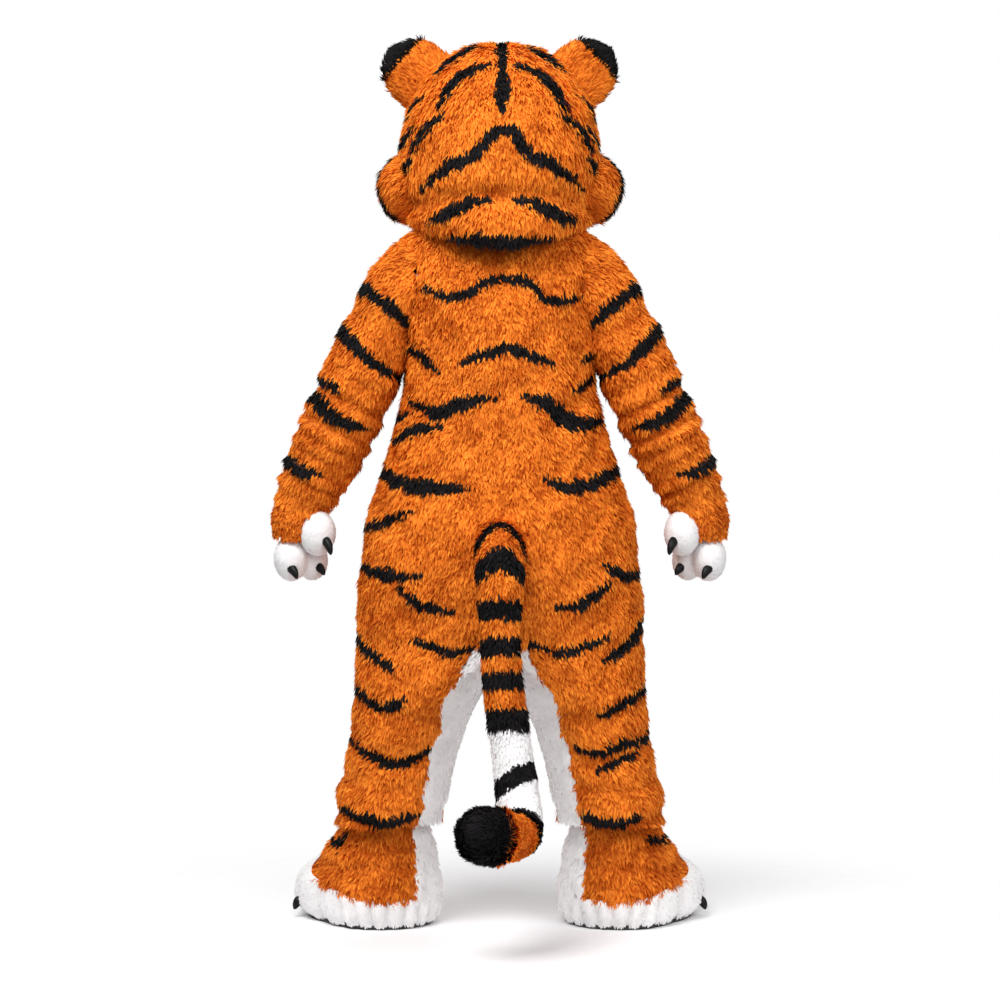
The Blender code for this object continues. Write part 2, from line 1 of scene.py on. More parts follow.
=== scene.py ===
"""Looks of the tiger mascot costume.

Each sewn piece is a thin shell with its own fur, grown as small bent tufts that lie along the nap.
The stripes are dyed into the fur. Metres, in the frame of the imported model. Heights in the tables
are above the floor.
"""

import math

import bpy
import numpy as np
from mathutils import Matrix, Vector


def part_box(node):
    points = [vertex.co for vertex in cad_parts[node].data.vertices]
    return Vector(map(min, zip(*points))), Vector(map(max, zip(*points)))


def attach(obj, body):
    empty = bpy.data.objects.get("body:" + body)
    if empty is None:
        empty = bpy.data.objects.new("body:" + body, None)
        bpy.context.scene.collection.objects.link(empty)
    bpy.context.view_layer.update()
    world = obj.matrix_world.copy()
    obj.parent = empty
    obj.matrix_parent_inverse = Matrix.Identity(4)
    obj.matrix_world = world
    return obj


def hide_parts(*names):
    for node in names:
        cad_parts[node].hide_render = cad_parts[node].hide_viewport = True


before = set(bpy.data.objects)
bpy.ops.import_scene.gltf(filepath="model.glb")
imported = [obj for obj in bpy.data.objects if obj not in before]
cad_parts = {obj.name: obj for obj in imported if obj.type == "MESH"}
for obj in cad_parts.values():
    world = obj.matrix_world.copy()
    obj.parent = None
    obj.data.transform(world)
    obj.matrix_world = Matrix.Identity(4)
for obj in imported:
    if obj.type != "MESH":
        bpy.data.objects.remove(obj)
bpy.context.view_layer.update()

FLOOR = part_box("sole_left")[0][2]
REACH = 0.007  # how far the fur stands out from its shell
CLOTH = 0.003  # the shells' thickness
SHELL_STEP = 0.012  # between a shell's rows
SEAM_ANGLES = {"trunk": 0.002, "head": 0.003, "leg": 0.004, "boot": 0.010}  # to a shell's edge, in radians
CROTCH_HEIGHT = 0.600
BELLY_TOP = 1.345
FACE_EDGE = math.radians(10)
TOE_OUT = math.radians(38)
HEEL_AXIS = (0.238, -0.012)
TOE_SPREAD = math.radians(70)
TOES = 4
BAND_HEIGHT = 0.063
INSTEP_RISE = 0.090
INNER_BOOT = (181, 251)  # the white piece's edges round the boot, in degrees
SOLE_THICKNESS = 0.009
SOLE_SHARE = 0.95  # of the foot's length and width
TAIL_RADIUS = 0.045
ARMPIT_HEIGHT = 1.10
SLEEVE_TOP = 1.47
SLEEVE_LAP = 0.016  # how far the trunk's shells run on inside the sleeves
TRUNK_LAP = 0.88  # where a sleeve's shell ends in the trunk, as the square of its share of the way out
QUARTER = math.pi / 2
SOFTNESS = 0.6  # how much of a tuft's shading follows the form under it
STRIPE_SPREAD = 0.0034  # how far the tufts carry a stripe's edge
SPLAY = 22  # how far tufts turn from the nap, in degrees
# Painted shade: fur in a fold is painted darker by this much for each metre of the fold's depth, and the
# puffs beside a fold a little lighter.
FOLD_PAINTED_SHADE = 38  # how much darker the fur is in a fold, for each metre of depth
ORANGE, BLACK, WHITE = 0, 1, 2
DENSITY = 8.6  # tufts a square centimetre, where a piece asks for 1.0
PALETTE = "OFBake"  # the UV map that holds each tuft's dye and tone

# ---------------------------------------------------------------- sections, as in the CAD
TORSO = [
    # height, side, back, front
    (0.600, 0.304, 0.200, 0.208),
    (0.690, 0.302, 0.212, 0.225),
    (0.770, 0.292, 0.212, 0.238),
    (0.853, 0.284, 0.203, 0.243),
    (0.964, 0.249, 0.182, 0.227),
    (1.038, 0.228, 0.172, 0.206),
    (1.130, 0.206, 0.168, 0.183),
    (1.240, 0.201, 0.168, 0.164),
    (1.330, 0.205, 0.158, 0.149),
    (1.400, 0.212, 0.138, 0.130),
    (1.440, 0.212, 0.118, 0.112),
    (1.465, 0.184, 0.103, 0.095),
    (1.485, 0.137, 0.090, 0.082),
    (1.500, 0.105, 0.081, 0.075),
]
BELLY = [
    # height, spread
    (0.600, 27.0),
    (0.690, 31.0),
    (0.770, 34.0),
    (0.964, 37.0),
    (1.130, 35.0),
    (1.240, 28.0),
    (1.315, 16.0),
    (1.345, 1.0),
]
HEAD = [
    # height, side, back, front, lift
    (1.425, 0.180, 0.188, 0.152, 0.056),
    (1.450, 0.189, 0.201, 0.167, 0.041),
    (1.485, 0.190, 0.204, 0.181, 0.016),
    (1.520, 0.187, 0.196, 0.191, 0.000),
    (1.560, 0.199, 0.207, 0.202, 0.000),
    (1.610, 0.209, 0.215, 0.208, 0.000),
    (1.660, 0.210, 0.215, 0.205, 0.000),
    (1.705, 0.202, 0.209, 0.197, 0.000),
    (1.745, 0.189, 0.197, 0.184, 0.000),
    (1.782, 0.169, 0.178, 0.166, 0.000),
    (1.815, 0.143, 0.152, 0.142, 0.000),
    (1.840, 0.113, 0.121, 0.113, 0.000),
    (1.856, 0.079, 0.085, 0.081, 0.000),
    (1.865, 0.038, 0.041, 0.039, 0.000),
    (1.867, 0.009, 0.009, 0.009, 0.000),
]
LEG = [
    # height, centre, half_width, back, front, join
    (0.600, 0.152, 0.152, 0.200, 0.208, 1.00),
    (0.560, 0.163, 0.143, 0.194, 0.200, 0.72),
    (0.500, 0.179, 0.133, 0.174, 0.178, 0.34),
    (0.430, 0.194, 0.122, 0.152, 0.155, 0.10),
    (0.370, 0.204, 0.119, 0.140, 0.141, 0.00),
    (0.325, 0.213, 0.118, 0.134, 0.135, 0.00),
    (0.285, 0.224, 0.120, 0.138, 0.139, 0.00),
    (0.255, 0.228, 0.117, 0.134, 0.136, 0.00),
    (0.222, 0.234, 0.112, 0.124, 0.126, 0.00),
]
INNER_LEG = [
    # height, back_edge, front_edge
    (0.600, 80.5, 262.0),
    (0.560, 83.5, 255.0),
    (0.500, 97.0, 241.0),
    (0.430, 118.0, 225.0),
    (0.370, 121.0, 212.0),
    (0.325, 121.0, 203.0),
    (0.285, 122.0, 197.0),
    (0.255, 125.0, 192.0),
    (0.222, 127.0, 189.0),
]
BOOT = [
    # height, back, front, half_width, toe_bulge
    (0.0096, 0.090, 0.255, 0.112, 0.006),
    (0.030, 0.098, 0.272, 0.124, 0.012),
    (0.060, 0.100, 0.270, 0.128, 0.012),
    (0.090, 0.100, 0.258, 0.128, 0.010),
    (0.112, 0.100, 0.228, 0.120, 0.005),
    (0.135, 0.099, 0.188, 0.114, 0.000),
    (0.160, 0.098, 0.154, 0.108, 0.000),
    (0.185, 0.096, 0.124, 0.102, 0.000),
    (0.214, 0.090, 0.094, 0.090, 0.000),
    (0.245, 0.087, 0.088, 0.086, 0.000),
]
SLEEVE = [
    # x, y, height, radius
    (0.100, 0.004, 1.402, 0.052),
    (0.150, 0.003, 1.392, 0.073),
    (0.190, 0.002, 1.362, 0.084),
    (0.237, 0.000, 1.283, 0.080),
    (0.280, 0.000, 1.197, 0.082),
    (0.309, 0.000, 1.130, 0.081),
    (0.318, -0.002, 1.109, 0.077),
    (0.328, -0.004, 1.087, 0.083),
    (0.338, -0.007, 1.065, 0.077),
    (0.349, -0.010, 1.043, 0.083),
    (0.359, -0.013, 1.022, 0.076),
    (0.369, -0.016, 1.001, 0.079),
    (0.379, -0.019, 0.980, 0.071),
    (0.390, -0.022, 0.961, 0.073),
    (0.400, -0.025, 0.941, 0.066),
    (0.410, -0.028, 0.922, 0.067),
    (0.418, -0.031, 0.904, 0.060),
    (0.425, -0.034, 0.887, 0.061),
]
MITT = [
    # x, y, height, radius
    (0.414, -0.030, 0.914, 0.050),
    (0.424, -0.034, 0.890, 0.053),
    (0.430, -0.037, 0.866, 0.058),
    (0.431, -0.040, 0.842, 0.058),
    (0.433, -0.042, 0.820, 0.054),
]
TAIL = [
    # x, y, height, radius
    (0.000, 0.150, 0.815, 0.048),
    (0.000, 0.215, 0.812, 0.051),
    (0.000, 0.250, 0.795, 0.052),
    (0.000, 0.272, 0.762, 0.050),
    (0.000, 0.281, 0.715, 0.046),
    (0.000, 0.283, 0.655, 0.042),
    (-0.001, 0.283, 0.595, 0.040),
    (-0.006, 0.283, 0.530, 0.040),
    (-0.018, 0.286, 0.437, 0.041),
    (-0.025, 0.292, 0.385, 0.043),
    (-0.031, 0.303, 0.340, 0.045),
    (-0.036, 0.320, 0.300, 0.046),
    (-0.039, 0.345, 0.268, 0.047),
    (-0.036, 0.375, 0.249, 0.048),
    (-0.024, 0.404, 0.243, 0.050),
    (0.001, 0.432, 0.246, 0.052),
    (0.032, 0.456, 0.254, 0.054),
    (0.047, 0.468, 0.259, 0.050),
    (0.057, 0.476, 0.262, 0.038),
    (0.064, 0.482, 0.265, 0.018),
]
TAIL_SPLITS = (0, 8, 13, 15, 19)
EAR_BASE = (0.153, 0.0, 1.788)
EAR_DIRECTION = (0.747, 0.0, 0.664)
EAR = [
    # along, half_width, half_depth
    (-0.050, 0.066, 0.030),
    (0.000, 0.071, 0.031),
    (0.036, 0.071, 0.029),
    (0.068, 0.061, 0.026),
    (0.087, 0.047, 0.022),
    (0.100, 0.028, 0.015),
    (0.106, 0.007, 0.006),
]
EAR_TIP_ROW = 3
CHEEK = ((0.186, -0.040, 1.570), (0.069, 0.090, 0.072))
MUZZLE_LOBE = ((0.045, -0.212, 1.560), (0.066, 0.070, 0.055))
CHIN = ((0.0, -0.195, 1.503), (0.058, 0.058, 0.036))
NOSE = ((0.0, -0.268, 1.597), (0.036, 0.026, 0.022))
EYE = ((0.078, -0.176, 1.668), (0.038, 0.022, 0.046))
THUMB = ((0.388, -0.004, 0.830), (0.037, 0.036, 0.047))
FINGERS = [
    # centre, radii
    ((0.446, -0.030, 0.776), (0.037, 0.042, 0.049)),
    ((0.404, -0.058, 0.770), (0.034, 0.036, 0.042)),
    ((0.436, -0.085, 0.784), (0.033, 0.032, 0.044)),
]
PAW_CLAWS = [
    # name, root, point
    ("thumb", (0.371, 0.018, 0.816), (0.356, 0.038, 0.784)),
    ("outer", (0.449, -0.004, 0.758), (0.429, 0.016, 0.733)),
    ("middle", (0.396, -0.040, 0.760), (0.374, -0.022, 0.740)),
    ("front", (0.434, -0.104, 0.772), (0.428, -0.122, 0.744)),
]
CLAW_RADIUS = 0.0115
TOE_CLAW_HEIGHTS = (0.040, 0.018)
TOE_CLAW_REACH = (-0.012, 0.020)

# ---------------------------------------------------------------- stripes
# Each is a brush stroke: its width at the start, middle and end in millimetres, then its points (x, height).
TORSO_STRIPES = [
    (5, 12, 8, [(0.154, 1.343), (0.107, 1.319), (0.062, 1.327), (0.027, 1.350), (-0.002, 1.356)]),
    (8, 12, 4, [(-0.002, 1.356), (-0.062, 1.345), (-0.094, 1.313), (-0.127, 1.312), (-0.164, 1.321)]),
    (3, 19, 4, [(0.080, 1.180), (0.035, 1.197), (-0.002, 1.208), (-0.062, 1.198), (-0.106, 1.180)]),
    (8, 14, 3, [(0.196, 1.220), (0.164, 1.203), (0.125, 1.164)]),
    (4, 10, 3, [(-0.197, 1.208), (-0.170, 1.190)]),
    (4, 9, 3, [(-0.187, 1.152), (-0.154, 1.128)]),
    (4, 26, 3, [(0.180, 1.102), (0.127, 1.080), (0.078, 1.098), (0.008, 1.110)]),
    (6, 30, 14, [(-0.045, 1.112), (-0.094, 1.098), (-0.131, 1.066), (-0.172, 1.056), (-0.205, 1.064)]),
    (5, 15, 3, [(0.215, 1.022), (0.179, 1.043), (0.121, 1.048)]),
    (8, 12, 3, [(0.216, 1.064), (0.187, 1.082)]),
    (20, 27, 3, [(0.240, 0.955), (0.183, 0.927), (0.127, 0.924), (0.066, 0.922)]),
    (3, 24, 20, [(-0.088, 0.943), (-0.131, 0.925), (-0.183, 0.930), (-0.246, 0.963)]),
    (12, 13, 3, [(0.283, 0.840), (0.236, 0.853), (0.183, 0.875)]),
    (10, 17, 4, [(0.296, 0.760), (0.236, 0.744), (0.199, 0.741), (0.160, 0.745)]),
    (3, 14, 3, [(0.205, 0.716), (0.162, 0.686), (0.123, 0.676), (0.090, 0.672)]),
    (4, 13, 14, [(-0.214, 0.762), (-0.255, 0.742), (-0.290, 0.741)]),
    (3, 17, 3, [(-0.115, 0.680), (-0.164, 0.685), (-0.190, 0.700), (-0.222, 0.724)]),
    (3, 14, 3, [(0.181, 0.610), (0.144, 0.601), (0.104, 0.586), (0.058, 0.596)]),
    (3, 15, 3, [(-0.064, 0.606), (-0.125, 0.586), (-0.174, 0.597), (-0.222, 0.618)]),
    (4, 19, 16, [(-0.208, 0.566), (-0.255, 0.590), (-0.300, 0.646)]),
    (12, 16, 3, [(0.300, 0.610), (0.262, 0.575), (0.214, 0.548)]),
]
LEG_STRIPES = [
    (4, 18, 6, [(0.312, 0.394), (0.259, 0.366), (0.215, 0.353), (0.182, 0.363), (0.142, 0.390)]),
    (10, 23, 6, [(0.325, 0.250), (0.284, 0.238), (0.228, 0.231), (0.180, 0.248)]),
    (10, 8, 3, [(0.366, 0.178), (0.345, 0.168), (0.322, 0.190)]),
    (4, 15, 12, [(-0.158, 0.390), (-0.200, 0.377), (-0.249, 0.394), (-0.312, 0.396)]),
    (3, 14, 10, [(-0.203, 0.336), (-0.236, 0.353), (-0.280, 0.372)]),
    (5, 22, 8, [(-0.176, 0.247), (-0.205, 0.233), (-0.249, 0.231), (-0.285, 0.243)]),
    (3, 8, 9, [(-0.308, 0.184), (-0.348, 0.174)]),
    (3, 15, 14, [(0.190, 0.490), (0.240, 0.470), (0.300, 0.500)]),
    (12, 15, 3, [(-0.302, 0.500), (-0.250, 0.478), (-0.205, 0.456)]),
]
ARM_STRIPES = [
    (24, 18, 12, [(0.285, 1.344), (0.239, 1.310), (0.198, 1.274)]),
    (24, 20, 6, [(0.334, 1.260), (0.296, 1.214), (0.258, 1.180), (0.206, 1.154)]),
    (4, 9, 4, [(0.385, 1.158), (0.338, 1.130)]),
    (26, 22, 4, [(0.394, 1.120), (0.358, 1.083), (0.325, 1.063), (0.285, 1.052)]),
    (24, 18, 4, [(0.455, 0.990), (0.417, 0.963), (0.378, 0.953)]),
]
HEAD_STRIPES = [
    (8, 18, 12, [(-0.002, 1.870), (-0.004, 1.830), (-0.004, 1.790)]),
    (10, 27, 6, [(-0.004, 1.776), (-0.005, 1.735), (-0.004, 1.692)]),
    (4, 13, 4, [(0.126, 1.790), (0.092, 1.822), (0.048, 1.845)]),
    (4, 13, 4, [(-0.126, 1.796), (-0.095, 1.822), (-0.056, 1.845)]),
    (3, 17, 6, [(0.123, 1.704), (0.105, 1.739), (0.068, 1.776), (0.023, 1.793)]),
    (3, 17, 6, [(-0.134, 1.700), (-0.112, 1.739), (-0.075, 1.776), (-0.030, 1.793)]),
    (4, 13, 3, [(0.177, 1.624), (0.152, 1.663), (0.115, 1.688)]),
    (4, 13, 3, [(-0.186, 1.630), (-0.158, 1.668), (-0.120, 1.690)]),
    (3, 20, 16, [(0.162, 1.544), (0.104, 1.581), (0.049, 1.608), (0.020, 1.638), (0.000, 1.659)]),
    (16, 20, 3, [(0.000, 1.659), (-0.028, 1.647), (-0.043, 1.620), (-0.114, 1.581), (-0.166, 1.550)]),
    (3, 24, 5, [(0.143, 1.478), (0.096, 1.490), (0.059, 1.508), (0.022, 1.512)]),
    (5, 24, 3, [(-0.030, 1.512), (-0.068, 1.506), (-0.108, 1.488), (-0.152, 1.478)]),
    (4, 27, 6, [
        (0.150, 1.438), (0.090, 1.434), (0.020, 1.428), (-0.050, 1.428), (-0.110, 1.434), (-0.155, 1.440)
    ]),
]
# On the head's sides the points are (y, height).
SIDE_STRIPES = [
    (4, 18, 10, [(0.100, 1.735), (0.050, 1.712), (-0.010, 1.700)]),
    (4, 18, 10, [(0.105, 1.672), (0.045, 1.650), (-0.015, 1.644)]),
    (4, 16, 8, [(0.100, 1.610), (0.060, 1.598), (0.035, 1.600)]),
]
FACE_STRIPES = [(6, 16, 6, [(0.000, 1.850), (0.000, 1.790)])] + [
    (start, middle, end, [(side * x, height) for x, height in line])
    for start, middle, end, line in (
        (4, 15, 8, [(0.095, 1.790), (0.050, 1.768), (0.012, 1.774)]),
        (4, 15, 8, [(0.090, 1.748), (0.045, 1.732), (0.012, 1.738)]),
        (14, 15, 4, [(0.204, 1.700), (0.170, 1.690), (0.135, 1.672)]),
        (14, 15, 4, [(0.208, 1.640), (0.172, 1.634), (0.140, 1.620)]),
    )
    for side in (1, -1)
]
# Soft troughs in the cloth: depth and width in millimetres, then points (x, height) on the back.
TORSO_FOLDS = [
    (4.0, 12, [(0.0, 1.50), (0.0, 0.84)]),
    (-9.0, 22, [(0.250, 1.425), (0.205, 1.452), (0.140, 1.490)]),
    (-9.0, 22, [(-0.250, 1.425), (-0.205, 1.452), (-0.140, 1.490)]),
    (4.0, 26, [(0.16, 0.98), (0.10, 0.95), (0.05, 0.90)]),
    (4.0, 26, [(-0.16, 0.99), (-0.10, 0.95), (-0.05, 0.90)]),
    (5.0, 22, [(0.19, 1.13), (0.15, 1.09), (0.09, 1.075)]),
    (5.0, 22, [(-0.19, 1.14), (-0.14, 1.10), (-0.08, 1.085)]),
    (4.0, 20, [(0.19, 1.36), (0.15, 1.30), (0.14, 1.22)]),
    (4.0, 20, [(-0.19, 1.36), (-0.15, 1.30), (-0.14, 1.22)]),
    (5.0, 26, [(0.25, 0.70), (0.17, 0.655), (0.07, 0.68)]),
    (5.0, 26, [(-0.25, 0.70), (-0.16, 0.66), (-0.07, 0.68)]),
    (3.5, 24, [(0.24, 0.88), (0.18, 0.84), (0.10, 0.83)]),
    (3.5, 24, [(-0.24, 0.89), (-0.17, 0.85), (-0.10, 0.83)]),
]
LEG_FOLDS = [
    (13.0, 15, [(0.37, 0.250), (0.28, 0.232), (0.22, 0.222), (0.12, 0.250)]),
    (9.0, 18, [(0.34, 0.410), (0.26, 0.376), (0.20, 0.362), (0.12, 0.396)]),
    (6.0, 15, [(0.35, 0.322), (0.26, 0.300), (0.16, 0.312)]),
    (4.0, 12, [(0.34, 0.282), (0.29, 0.272), (0.24, 0.276)]),
    (6.0, 22, [(0.30, 0.490), (0.22, 0.455), (0.10, 0.475)]),
    (4.0, 14, [(0.33, 0.430), (0.28, 0.420), (0.22, 0.424)]),
]
BOOT_FOLDS = [
    (6.0, 12, [(0.36, 0.186), (0.28, 0.172), (0.21, 0.176), (0.13, 0.190)]),
    (6.0, 14, [(0.40, 0.132), (0.33, 0.128), (0.25, 0.140), (0.16, 0.132)]),
    (4.0, 10, [(0.31, 0.112), (0.26, 0.098), (0.19, 0.104)]),
]
# The sleeve's gathers run across it: depth and width, then the middle of each.
ARM_FOLDS = [
    (depth, width, [(x + 0.090, height + 0.052 + sag), (x, height), (x - 0.090, height - 0.036 + sag)])
    for depth, width, x, height, sag in (
        (-7.0, 24, 0.215, 1.440, 0.000),
        (4.0, 20, 0.248, 1.262, 0.010),
        (5.0, 17, 0.279, 1.196, -0.004),
        (5.0, 13, 0.300, 1.150, 0.006),
        (7.0, 10, 0.317, 1.112, -0.003),
        (5.5, 8, 0.331, 1.082, 0.004),
        (7.5, 10, 0.346, 1.050, -0.002),
        (6.0, 8, 0.360, 1.020, 0.005),
        (7.5, 9, 0.373, 0.992, 0.000),
        (6.0, 8, 0.386, 0.963, 0.004),
        (7.0, 9, 0.399, 0.938, -0.002),
        (4.0, 8, 0.411, 0.914, 0.002),
    )
]
HEAD_FOLDS = [
    (5.0, 16, [(0.0, 1.86), (0.0, 1.70), (0.0, 1.42)]),
    (6.0, 20, [(0.21, 1.520), (0.10, 1.528), (0.0, 1.535), (-0.10, 1.528), (-0.21, 1.520)]),
]
TAIL_RINGS = [
    # start, end along the tail in metres, slant, arch
    (0.070, 0.094, 0.0, 0.030),
    (0.124, 0.160, 0.0, 0.022),
    (0.206, 0.246, 0.0, 0.008),
    (0.279, 0.319, 0.0, 0.006),
    (0.349, 0.386, 0.004, 0.004),
    (0.423, 0.471, 0.006, 0.004),
    (0.551, 0.593, -0.022, 0.0),
    (0.668, 0.704, 0.0, 0.0),
]

TAIL_PILES = (
    ("tail_upper", ORANGE, dict(length=0.018, per_cm2=1.1)),
    ("tail_lower", WHITE, dict(length=0.013, lift=24, per_cm2=1.3, soft=0.85)),
    ("tail_band", ORANGE, dict(length=0.012, lift=30, per_cm2=1.6, soft=0.9)),
    ("tail_tip", BLACK, dict(length=0.017, lift=70, per_cm2=1.5)),
)

rng = np.random.default_rng(7)


# ---------------------------------------------------------------- forms
def row_curve(rows, measured=None):
    """The rows' numbers every 2 mm along the form, on a smooth curve through them.

    Returns those, their distances along, and each row's own. Measured is how many of the first
    columns are lengths.
    """
    rows = np.array(rows, float)
    lengths = rows[:, : measured or rows.shape[1]]
    x = np.concatenate([[0.0], np.cumsum(np.linalg.norm(np.diff(lengths, axis=0), axis=1))])
    gap = np.diff(x)[:, None]
    rise = np.diff(rows, axis=0) / gap
    slope = np.empty_like(rows)
    slope[0], slope[-1] = rise[0], rise[-1]
    slope[1:-1] = (rise[:-1] * gap[1:] + rise[1:] * gap[:-1]) / (gap[:-1] + gap[1:])
    at = np.linspace(0, x[-1], int(x[-1] / 0.002) + 2)
    i = np.clip(np.searchsorted(x, at, side="right") - 1, 0, len(x) - 2)
    t = ((at - x[i]) / gap[i, 0])[:, None]
    low = (1 + 2 * t) * (1 - t) ** 2 * rows[i] + t * (1 - t) ** 2 * gap[i] * slope[i]
    high = t * t * (3 - 2 * t) * rows[i + 1] + t * t * (t - 1) * gap[i] * slope[i + 1]
    return low + high, at, x


def columns_at(curve, heights):
    """A form's numbers at these heights. The curve's first column is the height."""
    order = np.argsort(curve[:, 0])
    return [np.interp(heights, curve[order, 0], curve[order, k]) for k in range(1, curve.shape[1])]


def plain_at(rows, heights):
    rows = np.array(sorted(rows))
    return [np.interp(heights, rows[:, 0], rows[:, k]) for k in range(1, rows.shape[1])]


TORSO_CURVE = row_curve(TORSO)[0]
LEG_CURVE = row_curve(LEG, 5)[0]
BOOT_CURVE = row_curve(BOOT)[0]


def torso(height, angle):
    side, back, front = columns_at(TORSO_CURVE, height)
    depth = np.where(np.sin(angle) > 0, back, front)
    return np.stack([side * np.cos(angle), depth * np.sin(angle), height + FLOOR], -1)


def head_point(row, angle):
    """Row holds the head's numbers: height, side, back, front, lift."""
    height, side, back, front, lift = np.moveaxis(row, -1, 0)
    depth = np.where(np.sin(angle) > 0, back, front)
    raised = height + lift * np.cos(angle) ** 2 + FLOOR
    return np.stack([side * np.cos(angle), depth * np.sin(angle), raised], -1)


def leg(height, angle):
    centre, half_width, back, front, share = columns_at(LEG_CURVE, height)
    crotch = columns_at(TORSO_CURVE, np.array([CROTCH_HEIGHT]))
    side, trunk_back, trunk_front = (column[0] for column in crotch)
    at_back = np.sin(angle) > 0
    depth = np.where(at_back, back, front)
    trunk_depth = np.where(at_back, trunk_back, trunk_front)
    share = np.clip(share, 0, 1)
    half_x = np.maximum(side * np.cos(angle), 0.001)
    x = share * half_x + (1 - share) * (centre + half_width * np.cos(angle))
    y = (share * trunk_depth + (1 - share) * depth) * np.sin(angle)
    return np.stack([x, y, height + FLOOR], -1)


def boot(height, angle):
    back, front, half_width, toe_bulge = columns_at(BOOT_CURVE, height)
    turned = np.arctan2(np.sin(angle), np.cos(angle))
    toes = np.abs(np.sin(np.pi * turned * TOES / (2 * TOE_SPREAD))) ** 0.7
    bulge = np.where(np.abs(turned) < TOE_SPREAD, np.maximum(toe_bulge, 0) * toes, 0)
    reach = np.where(np.cos(angle) > 0, front, back) + bulge
    forward = reach * np.cos(angle)
    outward = (half_width + bulge) * np.sin(angle) * (1 + 0.12 * np.cos(angle))
    x = HEEL_AXIS[0] + forward * math.sin(TOE_OUT) + outward * math.cos(TOE_OUT)
    y = HEEL_AXIS[1] - forward * math.cos(TOE_OUT) + outward * math.sin(TOE_OUT)
    return np.stack([x, y, height + FLOOR], -1)


def band_top(angle):
    return BAND_HEIGHT + INSTEP_RISE * ((1 + np.cos(angle)) / 2) ** 2.6


def tube_grid(rows, columns, start=None, end=None, step=SHELL_STEP):
    """A ring every step along a smooth tube, from one row to another."""
    curve, at, x = row_curve(rows)
    first = x[0] if start is None else np.interp(start, range(len(x)), x)
    last = x[-1] if end is None else np.interp(end, range(len(x)), x)
    places = np.linspace(first, last, max(3, int((last - first) / step) + 1))
    rings = np.stack([np.interp(places, at, curve[:, k]) for k in range(curve.shape[1])], -1)
    centres = rings[:, :3] + (0, 0, FLOOR)
    tangent = unit(np.gradient(centres, axis=0))
    across = unit(np.array([1.0, 0, 0]) - tangent * tangent[:, :1])
    deep = np.cross(tangent, across)
    wide, thick = rings[:, 3, None, None], rings[:, -1, None, None]
    turn = ring_angles(columns)[None, :, None]
    return centres[:, None] + across[:, None] * wide * np.cos(turn) + deep[:, None] * thick * np.sin(turn)


def unit(v):
    return v / np.maximum(np.linalg.norm(v, axis=-1, keepdims=True), 1e-9)


def ellipsoid_grid(shape, rings=18, segments=30, inset=REACH * 0.5):
    (x, y, height), radii = shape
    up = np.linspace(0.04, np.pi - 0.04, rings)[:, None]
    turn = ring_angles(segments)[None, :]
    ball = np.stack([np.sin(up) * np.cos(turn), np.sin(up) * np.sin(turn), np.cos(up) + 0 * turn], -1)
    return ball[:, ::-1] * (np.array(radii) - inset) + np.array([x, y, height + FLOOR])


def ring_angles(count):
    return np.arange(count) * 2 * np.pi / count


def grid_normals(grid, closed):
    wrapped = np.concatenate([grid[:, -1:], grid, grid[:, :1]], 1) if closed else grid
    around = np.gradient(wrapped, axis=1)
    around = around[:, 1:-1] if closed else around
    onward = np.gradient(grid, axis=0)
    return unit(np.cross(around, onward))


def wobble(points, size, seed):
    """Smooth noise from -1 to 1 with features of about this size."""
    local = np.random.default_rng(seed)
    total = 0
    for _ in range(6):
        wave = unit(local.normal(size=3)) * (2 * np.pi / (size * local.uniform(0.7, 1.5)))
        total = total + np.sin(points @ wave + local.uniform(0, 6.28))
    return total / 3.4


def stroke_distance(at, points):
    """How far each place is from a line through the points, and how far along it, from 0 to 1."""
    points = np.array(points, float)
    lengths = np.linalg.norm(np.diff(points, axis=0), axis=1)
    starts = np.concatenate([[0], np.cumsum(lengths)])
    best = np.full(len(at), 1e9)
    along = np.zeros(len(at))
    for i, (a, b) in enumerate(zip(points, points[1:])):
        t = np.clip(((at - a) @ (b - a)) / lengths[i] ** 2, 0, 1)
        d = np.linalg.norm(at - a - t[:, None] * (b - a), axis=1)
        nearer = d < best
        best = np.where(nearer, d, best)
        along = np.where(nearer, (starts[i] + t * lengths[i]) / starts[-1], along)
    return best, along


def smooth_line(points):
    """More points on a smooth curve through these."""
    if len(points) < 3:
        return points
    curve, at, x = row_curve(points)
    places = np.linspace(0, x[-1], max(8, 4 * len(points)))
    return np.stack([np.interp(places, at, curve[:, k]) for k in (0, 1)], -1)


def striped(points, strokes, ragged=0.0025, across=0):
    """Which points lie under a stroke, seen along y, or along x if across is 1."""
    at = np.stack([points[:, across], points[:, 2] - FLOOR], -1)
    ragged = rng.normal(size=len(points)) * ragged + wobble(points, 0.03, 3) * 0.002
    under = np.zeros(len(points), bool)
    for start, middle, end, line in strokes:
        d, t = stroke_distance(at, smooth_line(line))
        edge = np.where(t < 0.5, start, end)
        width = edge + (middle - edge) * np.sin(np.pi * t)
        under |= d + ragged < width / 2000 + STRIPE_SPREAD
    return under


def hollow(points, normals, folds, both_sides):
    """How deep each point lies in the folds, in metres. Puffed cloth beside a fold is below zero."""
    at = np.stack([points[:, 0], points[:, 2] - FLOOR], -1)
    facing = np.clip(normals[:, 1] * 3 + 0.6, 0, 1)
    if both_sides:
        facing = np.maximum(facing, 0.75)
        at[:, 0] = np.abs(at[:, 0])
    total = np.zeros(len(points))
    for depth, width, line in folds:
        d, t = stroke_distance(at, smooth_line(line))
        fade = np.sin(np.pi * np.clip(t, 0.08, 0.92)) ** 0.5
        d = d * 1000 / width
        trough = np.exp(-(d**2)) - 0.35 * np.exp(-((d - 5 / 3) ** 2))
        total += depth / 1000 * trough * fade * facing
    return total


